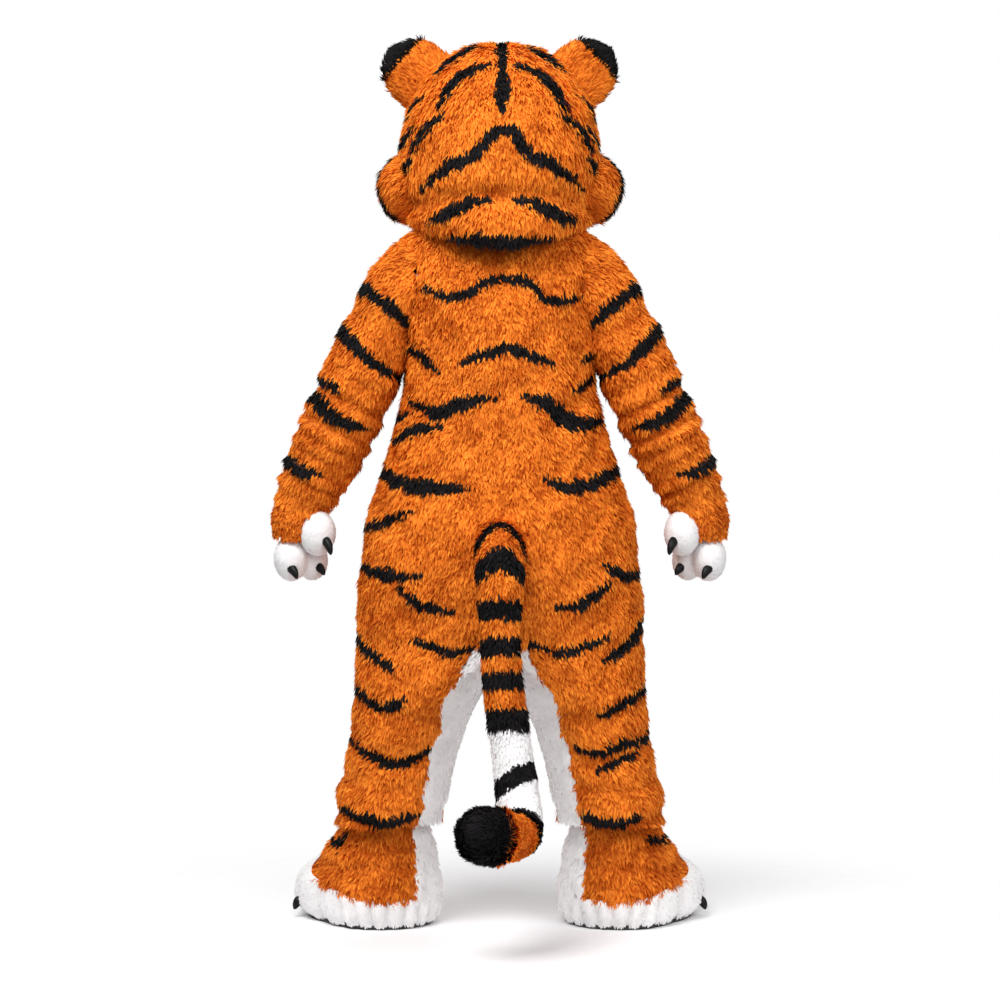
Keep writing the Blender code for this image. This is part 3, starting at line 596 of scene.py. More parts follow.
def creased(grid, closed, folds, inset=REACH, rough=0.0022, both_sides=False, seed=11):
    """The grid moved in by the fur's reach, with soft troughs along the folds and a slight unevenness."""
    normals = grid_normals(grid, closed)
    flat = grid.reshape(-1, 3)
    moved = -inset - hollow(flat, normals.reshape(-1, 3), folds, both_sides)
    moved += rough * wobble(flat, 0.09, seed) + rough * 0.6 * wobble(flat, 0.035, seed + 1)
    return grid + normals * moved.reshape(grid.shape[:2])[..., None]


# ---------------------------------------------------------------- pieces
def new_mesh(name, verts, faces, material):
    mesh = bpy.data.meshes.new(name)
    mesh.from_pydata(np.asarray(verts).tolist(), [], faces)
    mesh.update()
    mesh.shade_smooth()
    mesh.materials.append(material)
    return mesh


def new_object(name, mesh):
    obj = bpy.data.objects.new(name, mesh)
    bpy.context.scene.collection.objects.link(obj)
    return obj


def stand_in(obj, node):
    """Makes a piece move with the costume and stand for this CAD node."""
    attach(obj, "root")
    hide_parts(node)


def grid_faces(rows, columns, closed):
    last = columns if closed else columns - 1
    i, j = np.meshgrid(np.arange(rows - 1), np.arange(last), indexing="ij")
    k = (j + 1) % columns
    here, below = i * columns, (i + 1) * columns
    return np.stack([here + j, here + k, below + k, below + j], -1).reshape(-1, 4)


def closed_faces(rows, columns, first=0):
    """A tube's faces with a cap at each end. First is its first point's number."""
    quads = (grid_faces(rows, columns, True) + first).tolist()
    ring = np.arange(columns) + first
    return quads + [ring[::-1].tolist(), (ring + (rows - 1) * columns).tolist()]


def mirrored(grid):
    return (grid * (-1, 1, 1))[:, ::-1]


def both_hands():
    """Each hand's name, its sign, and what makes its grid from the left hand's."""
    return ("left", 1, lambda grid: grid), ("right", -1, mirrored)


def row_nap(grid):
    """Nap that runs from each row to the next."""
    return unit(np.gradient(grid, axis=0)).reshape(-1, 3)


def down_from(centre, out):
    """Nap that runs down and away from a place."""
    centre = np.array(centre)
    return lambda points: unit(unit(points - centre) * out + (0, 0, -1.0))


class Surface:
    """Triangles that fur grows on, each corner with its normal and nap."""

    def __init__(self, verts, tris, normals, naps):
        self.verts, self.normals, self.naps = verts, normals, naps
        self.tris = tris[np.argsort(tris[:, 0], kind="stable")]

    def areas(self):
        a, b, c = (self.verts[self.tris[:, k]] for k in range(3))
        return np.linalg.norm(np.cross(b - a, c - a), axis=1) / 2

    def roots(self, per_cm2):
        """Evenly spread random places, with the normal and nap at each."""
        total = np.cumsum(self.areas())
        count = max(1, int(total[-1] * 1e4 * per_cm2))
        picks = (np.arange(count) + rng.random(count)) / count * total[-1]
        tri = np.clip(np.searchsorted(total, picks), 0, len(total) - 1)
        u, v = rng.random(count), rng.random(count)
        over = u + v > 1
        u, v = np.where(over, 1 - u, u)[:, None], np.where(over, 1 - v, v)[:, None]
        corners = self.tris[tri]

        def mix(field):
            a, b, c = (field[corners[:, k]] for k in range(3))
            return a * (1 - u - v) + b * u + c * v

        return mix(self.verts), unit(mix(self.normals)), mix(self.naps)


def grid_surface(grid, closed, keep=None):
    quads = grid_faces(*grid.shape[:2], closed)
    if keep is not None:
        quads = quads[keep.reshape(-1)[quads].all(axis=1)]
    tris = np.concatenate([quads[:, [0, 1, 2]], quads[:, [0, 2, 3]]])
    normals = grid_normals(grid, closed).reshape(-1, 3)
    return Surface(grid.reshape(-1, 3), tris, normals, row_nap(grid)), quads


def tuft_mesh(name, points, dye, lit):
    """Two triangles a tuft, from its root over its wide middle to its tip, shaded as if facing lit."""
    count = len(points)
    mesh = bpy.data.meshes.new(name)
    mesh.vertices.add(count * 4)
    mesh.vertices.foreach_set("co", points.astype(np.float32).ravel())
    loops = (np.arange(count)[:, None] * 4 + np.array([0, 1, 3, 1, 2, 3])).ravel()
    mesh.loops.add(len(loops))
    mesh.loops.foreach_set("vertex_index", loops.astype(np.int32))
    mesh.polygons.add(count * 2)
    mesh.polygons.foreach_set("loop_start", (np.arange(count * 2) * 3).astype(np.int32))
    mesh.polygons.foreach_set("use_smooth", np.ones(count * 2, bool))
    palette = mesh.uv_layers.new(name=PALETTE)
    u = dye[:, None] + np.array([0, 0.0008, -0.0008, 0.0008, 0, -0.0008])
    # From root to tip, for the fur's painted shade at the root and painted highlight at the tip.
    v = np.broadcast_to(np.array([0.02, 0.5, 0.5, 0.5, 0.98, 0.5]), u.shape)
    palette.data.foreach_set("uv", np.stack([u, v], -1).astype(np.float32).ravel())
    mesh.update(calc_edges=True)
    mesh.normals_split_custom_set_from_vertices(np.repeat(lit, 4, axis=0))
    mesh.materials.append(FUR)
    return mesh


def grow(
    node, surface, shades, main, length=0.018, width=0.0052, per_cm2=1.0, lift=32,
    soft=SOFTNESS, folds=(), both_sides=False, dull=0.0,
):
    """A piece's pile. Shades gives each tuft's dye from where its middle lies.

    Lift is how far the roots stand up from the cloth, in degrees. Soft is the share of a tuft's
    shading that follows the form under it. The last argument makes the whole pile darker as painted
    shade, or lighter as painted light where it is below zero. Fur in the folds is painted darker.
    """
    root, normal, nap = surface.roots(per_cm2 * DENSITY)
    count = len(root)

    def scatter():
        return rng.normal(size=(count, 1))

    def patches(size, seed):
        return wobble(root, size, seed)[:, None]

    nap = unit(nap - normal * np.sum(nap * normal, 1, keepdims=True))
    side = np.cross(normal, nap)
    clump = patches(0.05, 5) + 0.8 * patches(0.014, 6)
    turn = np.radians(SPLAY) * (scatter() * 0.6 + clump * 0.8)
    nap, side = nap * np.cos(turn) + side * np.sin(turn), side * np.cos(turn) - nap * np.sin(turn)
    flatter = 1 - 0.6 * np.clip((normal[:, 2:] - 0.35) / 0.5, 0, 1)  # on top of a form
    rise = np.radians(np.clip(lift * flatter + 9 * scatter() + 7 * patches(0.02, 8), 6, 85))
    fall = rise * 0.45
    roll = np.radians(scatter() * 24)
    size = length * (0.8 + 0.4 * rng.random((count, 1))) * (1 + 0.12 * patches(0.04, 9))
    half = width / 2 * (0.65 + 0.6 * rng.random((count, 1)))
    up = nap * np.cos(rise) + normal * np.sin(rise)
    over = nap * np.cos(fall) + normal * np.sin(fall)
    flat = side * np.cos(roll) + np.cross(up, side) * np.sin(roll)
    middle = root + up * size * 0.48
    tip = middle + over * size * 0.52
    points = np.stack([root - normal * 0.001, middle - flat * half, tip, middle + flat * half], 1)
    shade = shades(root + nap * size * 0.5)
    # Painted shade or painted light: the piece's setting makes its whole pile darker or lighter; the rest of
    # the tone differs at random.
    tone = 0.52 - dull + 0.24 * rng.normal(size=count)
    tone = tone + 0.26 * wobble(root, 0.07, 10) + 0.18 * wobble(root, 0.018, 12)
    # Painted shade: fur deep in a fold is painted darker, and fur on the puffed cloth beside it a little
    # lighter.
    tone = tone - FOLD_PAINTED_SHADE * np.maximum(hollow(root, normal, folds, both_sides), -0.002)
    blade = unit(np.cross(middle - root, flat))
    blade = blade * np.sign(np.sum(blade * normal, 1, keepdims=True))
    lit = unit(normal * soft + blade * (1 - soft))
    name = f"fur_{node}"
    pile = new_object(name, tuft_mesh(name, points, (shade + np.clip(tone, 0.03, 0.97)) / 3, lit))
    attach(pile, "root")
    return pile


def paint(obj, shades):
    """Colours the shell under the fur."""
    shade = shades(np.array([vert.co[:] for vert in obj.data.vertices]))
    layer = obj.data.color_attributes.new("dye", "FLOAT_COLOR", "POINT")
    layer.data.foreach_set("color", np.array(UNDER)[shade].astype(np.float32).ravel())


def longest_row(grid, closed=False):
    if closed:
        grid = np.concatenate([grid, grid[:, :1]], 1)
    return float(np.linalg.norm(np.diff(grid, axis=1), axis=2).sum(1).max())


def furry_sheet(node, grid, closed, shades, main, keep=None, length=0.019, **fur):
    """A cut piece of fur: a shell that stands for the CAD node, and the pile on it."""
    surface, quads = grid_surface(grid, closed, keep)
    used = np.unique(quads)
    renumber = np.full(len(surface.verts), -1)
    renumber[used] = np.arange(len(used))
    name = f"cloth_{node}"
    shell = new_object(name, new_mesh(name, surface.verts[used], renumber[quads].tolist(), BACKING))
    paint(shell, shades)
    wall = shell.modifiers.new("wall", "SOLIDIFY")
    wall.thickness, wall.offset = CLOTH, -1
    stand_in(shell, node)
    pile = grow(node, surface, shades, main, length, **fur)
    flat = longest_row(grid, closed), longest_row(np.swapaxes(grid, 0, 1))
    area = min(float(surface.areas().sum()), flat[0] * flat[1])


def melt_together(pad):
    """Makes one soft skin round overlapping lobes."""
    skin = pad.modifiers.new("one_skin", "REMESH")
    skin.mode, skin.voxel_size, skin.use_smooth_shade = "VOXEL", 0.005, True
    soft = pad.modifiers.new("soft", "SMOOTH")
    soft.factor, soft.iterations = 0.5, 6
    made = bpy.data.meshes.new_from_object(pad.evaluated_get(bpy.context.evaluated_depsgraph_get()))
    pad.modifiers.clear()
    pad.data = made
    made.name = pad.name
    made.shade_smooth()
    made.materials.clear()
    made.materials.append(BACKING)


def furry_pad(node, grids, shades, main, nap=None, **fur):
    """A stuffed piece: one closed form round its lobes, with pile on it."""
    verts, faces = [], []
    for grid in grids:
        faces += closed_faces(*grid.shape[:2], len(verts))
        verts += grid.reshape(-1, 3).tolist()
    name = f"pad_{node}"
    pad = new_object(name, new_mesh(name, verts, faces, BACKING))
    if len(grids) > 1:
        melt_together(pad)
    paint(pad, shades)
    pad.data.calc_loop_triangles()
    tris = np.array([triangle.vertices[:] for triangle in pad.data.loop_triangles])
    points = np.array([vert.co[:] for vert in pad.data.vertices])
    normals = np.array([normal.vector[:] for normal in pad.data.vertex_normals])
    naps = nap(points) if nap else row_nap(grids[0])
    stand_in(pad, node)
    grow(node, Surface(points, tris, normals, naps), shades, main, **fur)


def solid_piece(node, grid, material):
    """A moulded piece."""
    name = f"{node}_form"
    faces = closed_faces(*grid.shape[:2])
    piece = new_object(name, new_mesh(name, grid.reshape(-1, 3), faces, material))
    stand_in(piece, node)
    return piece


# ---------------------------------------------------------------- materials
def node_material(name):
    material = bpy.data.materials.new(name)
    material.use_nodes = True
    tree = material.node_tree
    return material, tree, tree.nodes["Principled BSDF"]


def fill_in(tree, node, inputs):
    """Sets a node's inputs, and links the ones that are given another node's output."""
    for name, value in inputs.items():
        if isinstance(value, bpy.types.NodeSocket):
            tree.links.new(value, node.inputs[name])
        else:
            node.inputs[name].default_value = value


def add(tree, kind, inputs=(), **settings):
    node = tree.nodes.new(f"ShaderNode{kind}")
    for name, value in settings.items():
        setattr(node, name, value)
    fill_in(tree, node, dict(inputs))
    return node


def ramp(tree, source, stops):
    node = add(tree, "ValToRGB", {0: source})
    while len(node.color_ramp.elements) < len(stops):
        node.color_ramp.elements.new(0.5)
    for element, (place, colour) in zip(node.color_ramp.elements, stops):
        element.position, element.color = place, (*colour, 1)
    return node.outputs[0]


def grain(tree, scale):
    """Fine noise that moves with the piece."""
    where = add(tree, "TexCoord").outputs["Object"]
    return add(tree, "TexNoise", {"Scale": scale, "Vector": where}).outputs[0]


def fur_material():
    """Fur from its tuft's dye and tone, painted dark at the root as shade and light at the tip as highlight.
    """
    material, tree, shader = node_material("plush_fur")
    palette = add(tree, "UVMap", uv_map=PALETTE)
    dye, height, _ = add(tree, "SeparateXYZ", {0: palette.outputs[0]}).outputs
    # Painted shade and highlight: each dye is darker at a tuft's root and lighter at its tip.
    roots = ramp(tree, dye, [
        (0.000, (0.30, 0.042, 0.002)), (0.332, (0.66, 0.130, 0.007)),
        (0.334, (0.002, 0.002, 0.002)), (0.665, (0.006, 0.005, 0.006)),
        (0.668, (0.79, 0.76, 0.76)), (1.000, (0.88, 0.86, 0.86))])
    lit_tips = ramp(tree, dye, [
        (0.000, (0.48, 0.082, 0.003)), (0.332, (1.00, 0.340, 0.036)),
        (0.334, (0.004, 0.004, 0.004)), (0.665, (0.016, 0.014, 0.016)),
        (0.668, (0.87, 0.86, 0.86)), (1.000, (0.94, 0.94, 0.94))])
    rise = ramp(tree, height, [(0.0, (0, 0, 0)), (0.45, (0.45, 0.45, 0.45)), (1.0, (1, 1, 1))])
    mix = add(tree, "Mix", data_type="RGBA")
    fill_in(tree, mix, {"Factor": rise, "A": roots, "B": lit_tips})
    colour = mix.outputs["Result"]
    fill_in(tree, shader, {"Base Color": colour, "Roughness": 0.8, "Specular IOR Level": 0.1})
    # A tuft is thin, so the light on its outer side shows through where it's seen from below.
    through = add(tree, "BsdfTranslucent", {"Color": colour})
    inside = add(tree, "NewGeometry").outputs["Backfacing"]
    both = add(tree, "MixShader", {0: inside, 1: shader.outputs[0], 2: through.outputs[0]})
    output = next(node for node in tree.nodes if node.type == "OUTPUT_MATERIAL")
    tree.links.new(both.outputs[0], output.inputs["Surface"])
    return material


def backing_material():
    """The knitted backing that the pile is tufted into."""
    material, tree, shader = node_material("fur_backing")
    dye = add(tree, "Attribute", attribute_name="dye").outputs["Color"]
    shadow = ramp(tree, grain(tree, 260), [(0.35, (0.8, 0.8, 0.8)), (0.7, (1, 1, 1))])
    mix = add(tree, "Mix", data_type="RGBA", blend_type="MULTIPLY")
    fill_in(tree, mix, {"Factor": 1.0, "A": dye, "B": shadow})
    fill_in(tree, shader, {"Base Color": mix.outputs["Result"], "Roughness": 0.95})
    return material


def speckled(name, dark, light, scale, roughness, bump, coat=0.0, specular=0.5):
    """A moulded material with fine uneven colour and grain."""
    material, tree, shader = node_material(name)
    noise = grain(tree, scale)
    relief = add(tree, "Bump", {"Strength": bump, "Distance": 0.001, "Height": noise})
    fill_in(tree, shader, {
        "Base Color": ramp(tree, noise, [(0.3, dark), (0.7, light)]), "Normal": relief.outputs[0],
        "Roughness": roughness, "Coat Weight": coat, "Specular IOR Level": specular})
    return material


def eye_material():
    """A white eye with an amber iris and a dark pupil. Ring is the distance from the eye's axis."""
    material, tree, shader = node_material("eye_gloss")
    ring = add(tree, "Attribute", attribute_name="ring")
    colour = ramp(tree, ring.outputs["Fac"], [
        (0.00, (0.004, 0.004, 0.005)), (0.30, (0.004, 0.004, 0.005)), (0.33, (0.45, 0.20, 0.02)),
        (0.55, (0.62, 0.33, 0.04)), (0.60, (0.03, 0.02, 0.01)), (0.64, (0.85, 0.85, 0.83))])
    fill_in(tree, shader, {"Base Color": colour, "Roughness": 0.12, "Coat Weight": 0.6})
    return material


FUR = fur_material()
BACKING = backing_material()
CLAW = speckled("claw_gloss", (0.001, 0.001, 0.001), (0.003, 0.003, 0.004), 90, 0.42, 0.1, specular=0.22)
NOSE_SKIN = speckled("nose_leather", (0.008, 0.007, 0.008), (0.022, 0.019, 0.020), 400, 0.4, 0.5, 0.1)
SOLE = speckled("sole_rubber", (0.014, 0.014, 0.014), (0.035, 0.035, 0.035), 300, 0.75, 0.4)
EYE_GLOSS = eye_material()
UNDER = [(0.72, 0.17, 0.010, 1.0), (0.008, 0.007, 0.008, 1.0), (0.95, 0.93, 0.94, 1.0)]


# ---------------------------------------------------------------- colours by place
def flat_shade(value):
    return lambda points: np.full(len(points), value)


def torso_shades(points):
    return np.where(striped(points, TORSO_STRIPES), BLACK, ORANGE)


def leg_shades(points):
    return np.where(striped(points, LEG_STRIPES + TORSO_STRIPES[-4:]), BLACK, ORANGE)


def arm_shades(points):
    folded = points.copy()
    folded[:, 0] = np.abs(folded[:, 0])
    return np.where(striped(folded, ARM_STRIPES), BLACK, ORANGE)


def head_shades(points):
    at_side = (np.abs(points[:, 0]) > 0.135) & striped(points, SIDE_STRIPES, across=1)
    return np.where(striped(points, HEAD_STRIPES) | at_side, BLACK, ORANGE)


def face_shades(points):
    """White brows and jowls, with a ragged edge."""
    x, height = np.abs(points[:, 0]), points[:, 2] - FLOOR
    shade = np.where(striped(points, FACE_STRIPES), BLACK, ORANGE)
    edge = 1 + rng.normal(size=len(points)) * 0.12
    brow = ((x - 0.075) / 0.055) ** 2 + ((height - 1.712) / 0.028) ** 2 < edge
    jowl = ((x - 0.075) / 0.125) ** 2 + ((height - 1.520) / 0.090) ** 2 < edge
    return np.where((brow | jowl) & (shade == ORANGE), WHITE, shade)


def cheek_shades(points):
    """White toward the muzzle, and a black band on the outside."""
    x, y = np.abs(points[:, 0]), points[:, 1]
    ragged = rng.normal(size=len(points)) * 0.004
    shade = np.where(y + ragged < -0.085, WHITE, ORANGE)
    return np.where((x + ragged > 0.214) & (np.abs(y + ragged + 0.028) < 0.022), BLACK, shade)


def ear_shades(points):
    """White inside the ear, in front."""
    x, height = np.abs(points[:, 0]), points[:, 2] - FLOOR
    inner = (x - EAR_BASE[0] - 0.024) ** 2 + (height - EAR_BASE[2] - 0.02) ** 2 < 0.037**2
    return np.where(inner & (points[:, 1] < -0.012), WHITE, ORANGE)


# ---------------------------------------------------------------- the suit
def steps(low, high):
    return np.linspace(low, high, max(2, int(abs(high - low) / SHELL_STEP) + 1))


def belly_spread(height):
    spread = plain_at(BELLY, height)[0]
    return np.radians(np.where(height <= BELLY_TOP, spread, 0.0))


def panel(form, heights, start, end, columns):
    """A grid between two edges. Start and end are angles, one for all rows or one for each."""
    share = np.linspace(0, 1, columns)[None, :]
    start, end = (np.broadcast_to(edge, heights.shape)[:, None] for edge in (start, end))
    angle = start * (1 - share) + end * share
    height = np.broadcast_to(heights[:, None], angle.shape)
    return form(height, angle)[:, ::-1]


def outside_sleeves(points):
    """Whether each point is clear of the sleeves' bores."""
    curve = row_curve(SLEEVE)[0]
    curve = curve[curve[:, 2] > ARMPIT_HEIGHT]
    keep = np.ones(points.shape[:-1], bool)
    for side in (1, -1):
        centres = curve[:, :3] * (side, 1, 1) + (0, 0, FLOOR)
        gap = np.linalg.norm(points[..., None, :] - centres, axis=-1) - (curve[:, 3] - SLEEVE_LAP)
        keep &= gap.min(-1) > 0
    return keep


def outside_trunk(points):
    """Whether each point of a sleeve is clear of the trunk."""
    height = points[..., 2] - FLOOR
    side, back, front = columns_at(TORSO_CURVE, height)
    depth = np.where(points[..., 1] > 0, back, front)
    out = (points[..., 0] / side) ** 2 + (points[..., 1] / depth) ** 2
    return (out > TRUNK_LAP) | (height > SLEEVE_TOP)


def make_trunk():
    gap = SEAM_ANGLES["trunk"]
    heights = steps(TORSO[-1][0], CROTCH_HEIGHT)
    spread = belly_spread(heights)
    for node, start, end, columns in (
        ("back_left", 0, QUARTER, 34),
        ("back_right", QUARTER, 2 * QUARTER, 34),
        ("front_right", 2 * QUARTER, 3 * QUARTER - spread, 30),
        ("front_left", 3 * QUARTER + spread, 4 * QUARTER, 30),
    ):
        grid = creased(panel(torso, heights, start + gap, end - gap, columns), False, TORSO_FOLDS)
        keep = outside_sleeves(grid)
        # Painted shade: the fur is made darker in the trunk's folds.
        furry_sheet(node, grid, False, torso_shades, ORANGE, keep, folds=TORSO_FOLDS)
    heights = steps(BELLY_TOP - 0.002, CROTCH_HEIGHT)
    spread = belly_spread(heights)
    grid = creased(panel(torso, heights, 3 * QUARTER - spread, 3 * QUARTER + spread, 30), False, [])
    furry_sheet("belly", grid, False, flat_shade(WHITE), WHITE)


def make_sleeves():
    sleeve = creased(tube_grid(SLEEVE, 44), True, ARM_FOLDS, rough=0.003, both_sides=True, seed=21)
    # Painted shade: these folds make the fur darker in the sleeve's gathers.
    gathered = dict(folds=ARM_FOLDS, both_sides=True)
    for name, _, turn in both_hands():
        grid = turn(sleeve)
        furry_sheet(f"sleeve_{name}", grid, True, arm_shades, ORANGE, outside_trunk(grid), **gathered)


def make_legs():
    gap = SEAM_ANGLES["leg"]
    heights = steps(CROTCH_HEIGHT - 0.001, LEG[-1][0])
    back_edge, front_edge = np.radians(plain_at(INNER_LEG, heights))
    outer = panel(leg, heights, front_edge - 4 * QUARTER + gap, back_edge - gap, 56)
    inner = panel(leg, heights, back_edge + gap, front_edge - gap, 24)
    outer, inner = (creased(grid, False, LEG_FOLDS, both_sides=True) for grid in (outer, inner))
    # Painted shade: these folds make the fur darker in the leg's folds.
    gathered = dict(folds=LEG_FOLDS, both_sides=True)
    short = dict(length=0.012, width=0.0044, per_cm2=1.3, lift=24, soft=0.85)
    for name, _, turn in both_hands():
        furry_sheet(f"leg_{name}", turn(outer), False, leg_shades, ORANGE, **gathered)
        furry_sheet(f"inner_leg_{name}", turn(inner), False, flat_shade(WHITE), WHITE, **short)


def make_tail():
    curve, places, rows = row_curve(TAIL)
    centres, places = curve[::3, :3] + (0, 0, FLOOR), places[::3]
    white_from, white_to = rows[TAIL_SPLITS[1]], TAIL_RINGS[-1][1]
    tip_from = rows[TAIL_SPLITS[3]] + 0.010  # into the tip, where its black starts

    def shades(points):
        nearest = np.argmin(np.linalg.norm(points[:, None] - centres, axis=2), axis=1)
        along = places[nearest] + rng.normal(size=len(points)) * 0.002
        across = (points[:, 0] - centres[nearest, 0]) / TAIL_RADIUS
        shade = np.where((along > white_from) & (along < white_to), WHITE, ORANGE)
        for start, end, slant, arch in TAIL_RINGS:
            moved = along + slant * across - arch * across**2
            shade = np.where((moved > start) & (moved < end), BLACK, shade)
        return np.where(along > tip_from, BLACK, shade)

    for (node, main, fur), first, last in zip(TAIL_PILES, TAIL_SPLITS, TAIL_SPLITS[1:]):
        grid = tube_grid(TAIL, 30, first, last, 0.009)
        grid = grid - grid_normals(grid, True) * REACH * 0.8
        furry_pad(node, [grid], shades, main, width=0.0048, **fur)


# ---------------------------------------------------------------- the head
def make_head():
    curve, at, _ = row_curve(HEAD)
    places = np.linspace(0, at[-1], int(at[-1] / SHELL_STEP) + 1)
    rows = np.stack([np.interp(places, at, curve[:, k]) for k in range(5)], -1)[::-1, None]
    gap, side_seam = SEAM_ANGLES["head"], 2 * QUARTER + FACE_EDGE
    for node, start, end, columns, shades in (
        ("head_back_left", -FACE_EDGE, QUARTER, 34, head_shades),
        ("head_back_right", QUARTER, side_seam, 34, head_shades),
        ("face", side_seam, 4 * QUARTER - FACE_EDGE, 52, face_shades),
    ):
        angle = np.linspace(start + gap, end - gap, columns) + 0 * rows[..., 0]
        grid = head_point(np.broadcast_to(rows, (*angle.shape, 5)), angle)[:, ::-1]
        grid = creased(grid, False, HEAD_FOLDS, rough=0.003, seed=31)
        # Painted light: the head's fur is made lighter, and painted shade darkens it in the head's folds.
        furry_sheet(node, grid, False, shades, ORANGE, length=0.022, folds=HEAD_FOLDS, dull=-0.14)


def make_ears():
    base, direction = np.array(EAR_BASE), unit(np.array(EAR_DIRECTION))
    rows = [(*(base + direction * along), wide, thick) for along, wide, thick in EAR]
    for name, _, turn in both_hands():
        for node, first, last, shades, main in (
            (f"ear_{name}", 0, EAR_TIP_ROW, ear_shades, ORANGE),
            (f"ear_tip_{name}", EAR_TIP_ROW, len(EAR) - 1, flat_shade(BLACK), BLACK),
        ):
            grid = tube_grid(rows, 32, first, last, 0.008)
            grid = turn(grid - grid_normals(grid, True) * REACH * 0.6)
            furry_pad(node, [grid], shades, main, length=0.016, width=0.0046, per_cm2=1.1)


def make_face_forms():
    for name, side, _ in both_hands():
        (x, y, height), radii = CHEEK
        grid = ellipsoid_grid(((side * x, y, height), radii))
        away = down_from((side * (x - 0.08), y, height + FLOOR), 1.4)
        furry_pad(f"cheek_{name}", [grid], cheek_shades, ORANGE, away, length=0.026, lift=38)
        make_eye(name, side)
    white = flat_shade(WHITE)
    (x, y, height), radii = MUZZLE_LOBE
    lobes = [ellipsoid_grid(((side * x, y, height), radii)) for side in (1, -1)]
    outward = down_from((0, y + 0.02, height + FLOOR), 1.6)
    furry_pad("muzzle", lobes, white, WHITE, outward, length=0.011, width=0.0045, per_cm2=1.2)
    _, y, height = CHIN[0]
    under = down_from((0, y + 0.02, height + FLOOR + 0.02), 0.8)
    furry_pad("chin", [ellipsoid_grid(CHIN)], white, WHITE, under, length=0.014, per_cm2=1.2)
    grid = ellipsoid_grid(NOSE)
    grid[..., 0] *= 1 + 0.25 * np.clip((grid[..., 2] - FLOOR - NOSE[0][2]) / 0.02, -1, 1)
    solid_piece("nose", grid, NOSE_SKIN)


def make_eye(name, side):
    (x, y, height), radii = EYE
    grid = ellipsoid_grid(((side * x, y, height), radii), 26, 40)
    eye = solid_piece(f"eye_{name}", grid, EYE_GLOSS)
    points = grid.reshape(-1, 3)
    apart = (points[:, ::2] - (side * x * 0.92, height + FLOOR - 0.004)) / (radii[0], radii[2] * 0.9)
    ring = np.where(points[:, 1] < y, np.linalg.norm(apart, axis=1), 1.0)
    values = eye.data.attributes.new("ring", "FLOAT", "POINT").data
    values.foreach_set("value", ring.astype(np.float32))


# ---------------------------------------------------------------- paws and boots
def claw_grid(root, point):
    """A bent, tapering claw."""
    axis = unit(point - root)
    across = unit(np.cross(axis, [0, 0, 1]))
    up = np.cross(across, axis)
    share = np.linspace(0, 0.995, 12)[:, None]
    centre = root + (point - root) * share + up * 0.004 * np.sin(np.pi * share)
    size = CLAW_RADIUS * np.sqrt(1 - share**1.7)
    turn = ring_angles(16)[None, :, None]
    return (centre[:, None] + (across * np.cos(turn) * 0.85 + up * np.sin(turn)) * size[:, None])[:, ::-1]


def make_paws():
    mitt = tube_grid(MITT, 36)
    mitt = mitt - grid_normals(mitt, True) * 0.004
    orange, white = flat_shade(ORANGE), flat_shade(WHITE)
    velvet = dict(length=0.005, width=0.0032, per_cm2=2.0, lift=10, soft=1.0)
    for name, side, turn in both_hands():
        # Painted shade: the mitts' fur is made darker.
        furry_sheet(f"mitt_{name}", turn(mitt), True, orange, ORANGE, length=0.013, dull=0.12)
        nap = down_from((side * 0.42, -0.035, 0.86 + FLOOR), 0.8)
        lobes = [ellipsoid_grid(((side * x, y, z), radii), inset=0.0) for (x, y, z), radii in FINGERS]
        furry_pad(f"fingers_{name}", lobes, white, WHITE, nap, **velvet)
        (x, y, height), radii = THUMB
        thumb = ellipsoid_grid(((side * x, y, height), radii), inset=-0.001)
        furry_pad(f"thumb_{name}", [thumb], white, WHITE, nap, **velvet)
        for claw, *ends in PAW_CLAWS:
            ends = [np.array(end) * (side, 1, 1) + (0, 0, FLOOR) for end in ends]
            solid_piece(f"paw_claw_{name}_{claw}", claw_grid(*ends), CLAW)


def foot_grid(angles):
    """The white band and toes, from the band's top to the sole, puckered where the fur is gathered."""
    low = BOOT[0][0]
    share = np.linspace(1, 0, 12)[:, None]
    height = low + (band_top(angles)[None, :] - low) * share
    foot = boot(height, angles + 0 * share)[:, ::-1]
    pucker = (np.abs(np.sin(angles * 9.5 + 0.6)) ** 0.7 - 0.65) * 0.016
    pucker = pucker * np.where(np.abs(angles) > TOE_SPREAD, 1, 0.2)
    belly = np.sin(np.pi * (0.25 + 0.75 * share)) ** 0.6
    bulge = pucker[None, ::-1] * belly - 0.002
    return foot + grid_normals(foot, True) * bulge[..., None]


def upper_grid(first, last, columns):
    """The boot between two angles, from its top down to the band."""
    top = BOOT[-1][0]
    turns = np.linspace(first, last, columns)[None, :]
    share = np.linspace(0, 1, 18)[:, None]
    level = top + (band_top(turns) + 0.001 - top) * share
    grid = boot(level, turns + 0 * share)[:, ::-1]
    return creased(grid, False, BOOT_FOLDS, rough=0.003, both_sides=True, seed=41)


def sole_grid(angles):
    """The sole's two rims, a little inside the foot."""
    heel = np.array([*HEEL_AXIS, FLOOR])
    rim = heel + (boot(0 * angles + BOOT[0][0], angles) - heel) * (SOLE_SHARE, SOLE_SHARE, 0)
    return np.array([rim + (0, 0, SOLE_THICKNESS), rim])[:, ::-1]


def toe_claw_ends(number):
    angle = TOE_SPREAD * (2 * number + 1 - TOES) / TOES

    def edge(height, turn=0.0):
        return boot(np.array([height]), np.array([angle + turn]))[0]

    ahead = edge(TOE_CLAW_HEIGHTS[0], 0.01) - edge(TOE_CLAW_HEIGHTS[0], -0.01)
    out = unit(np.array([ahead[1], -ahead[0], 0.0]))
    return [edge(height) + out * reach for height, reach in zip(TOE_CLAW_HEIGHTS, TOE_CLAW_REACH)]


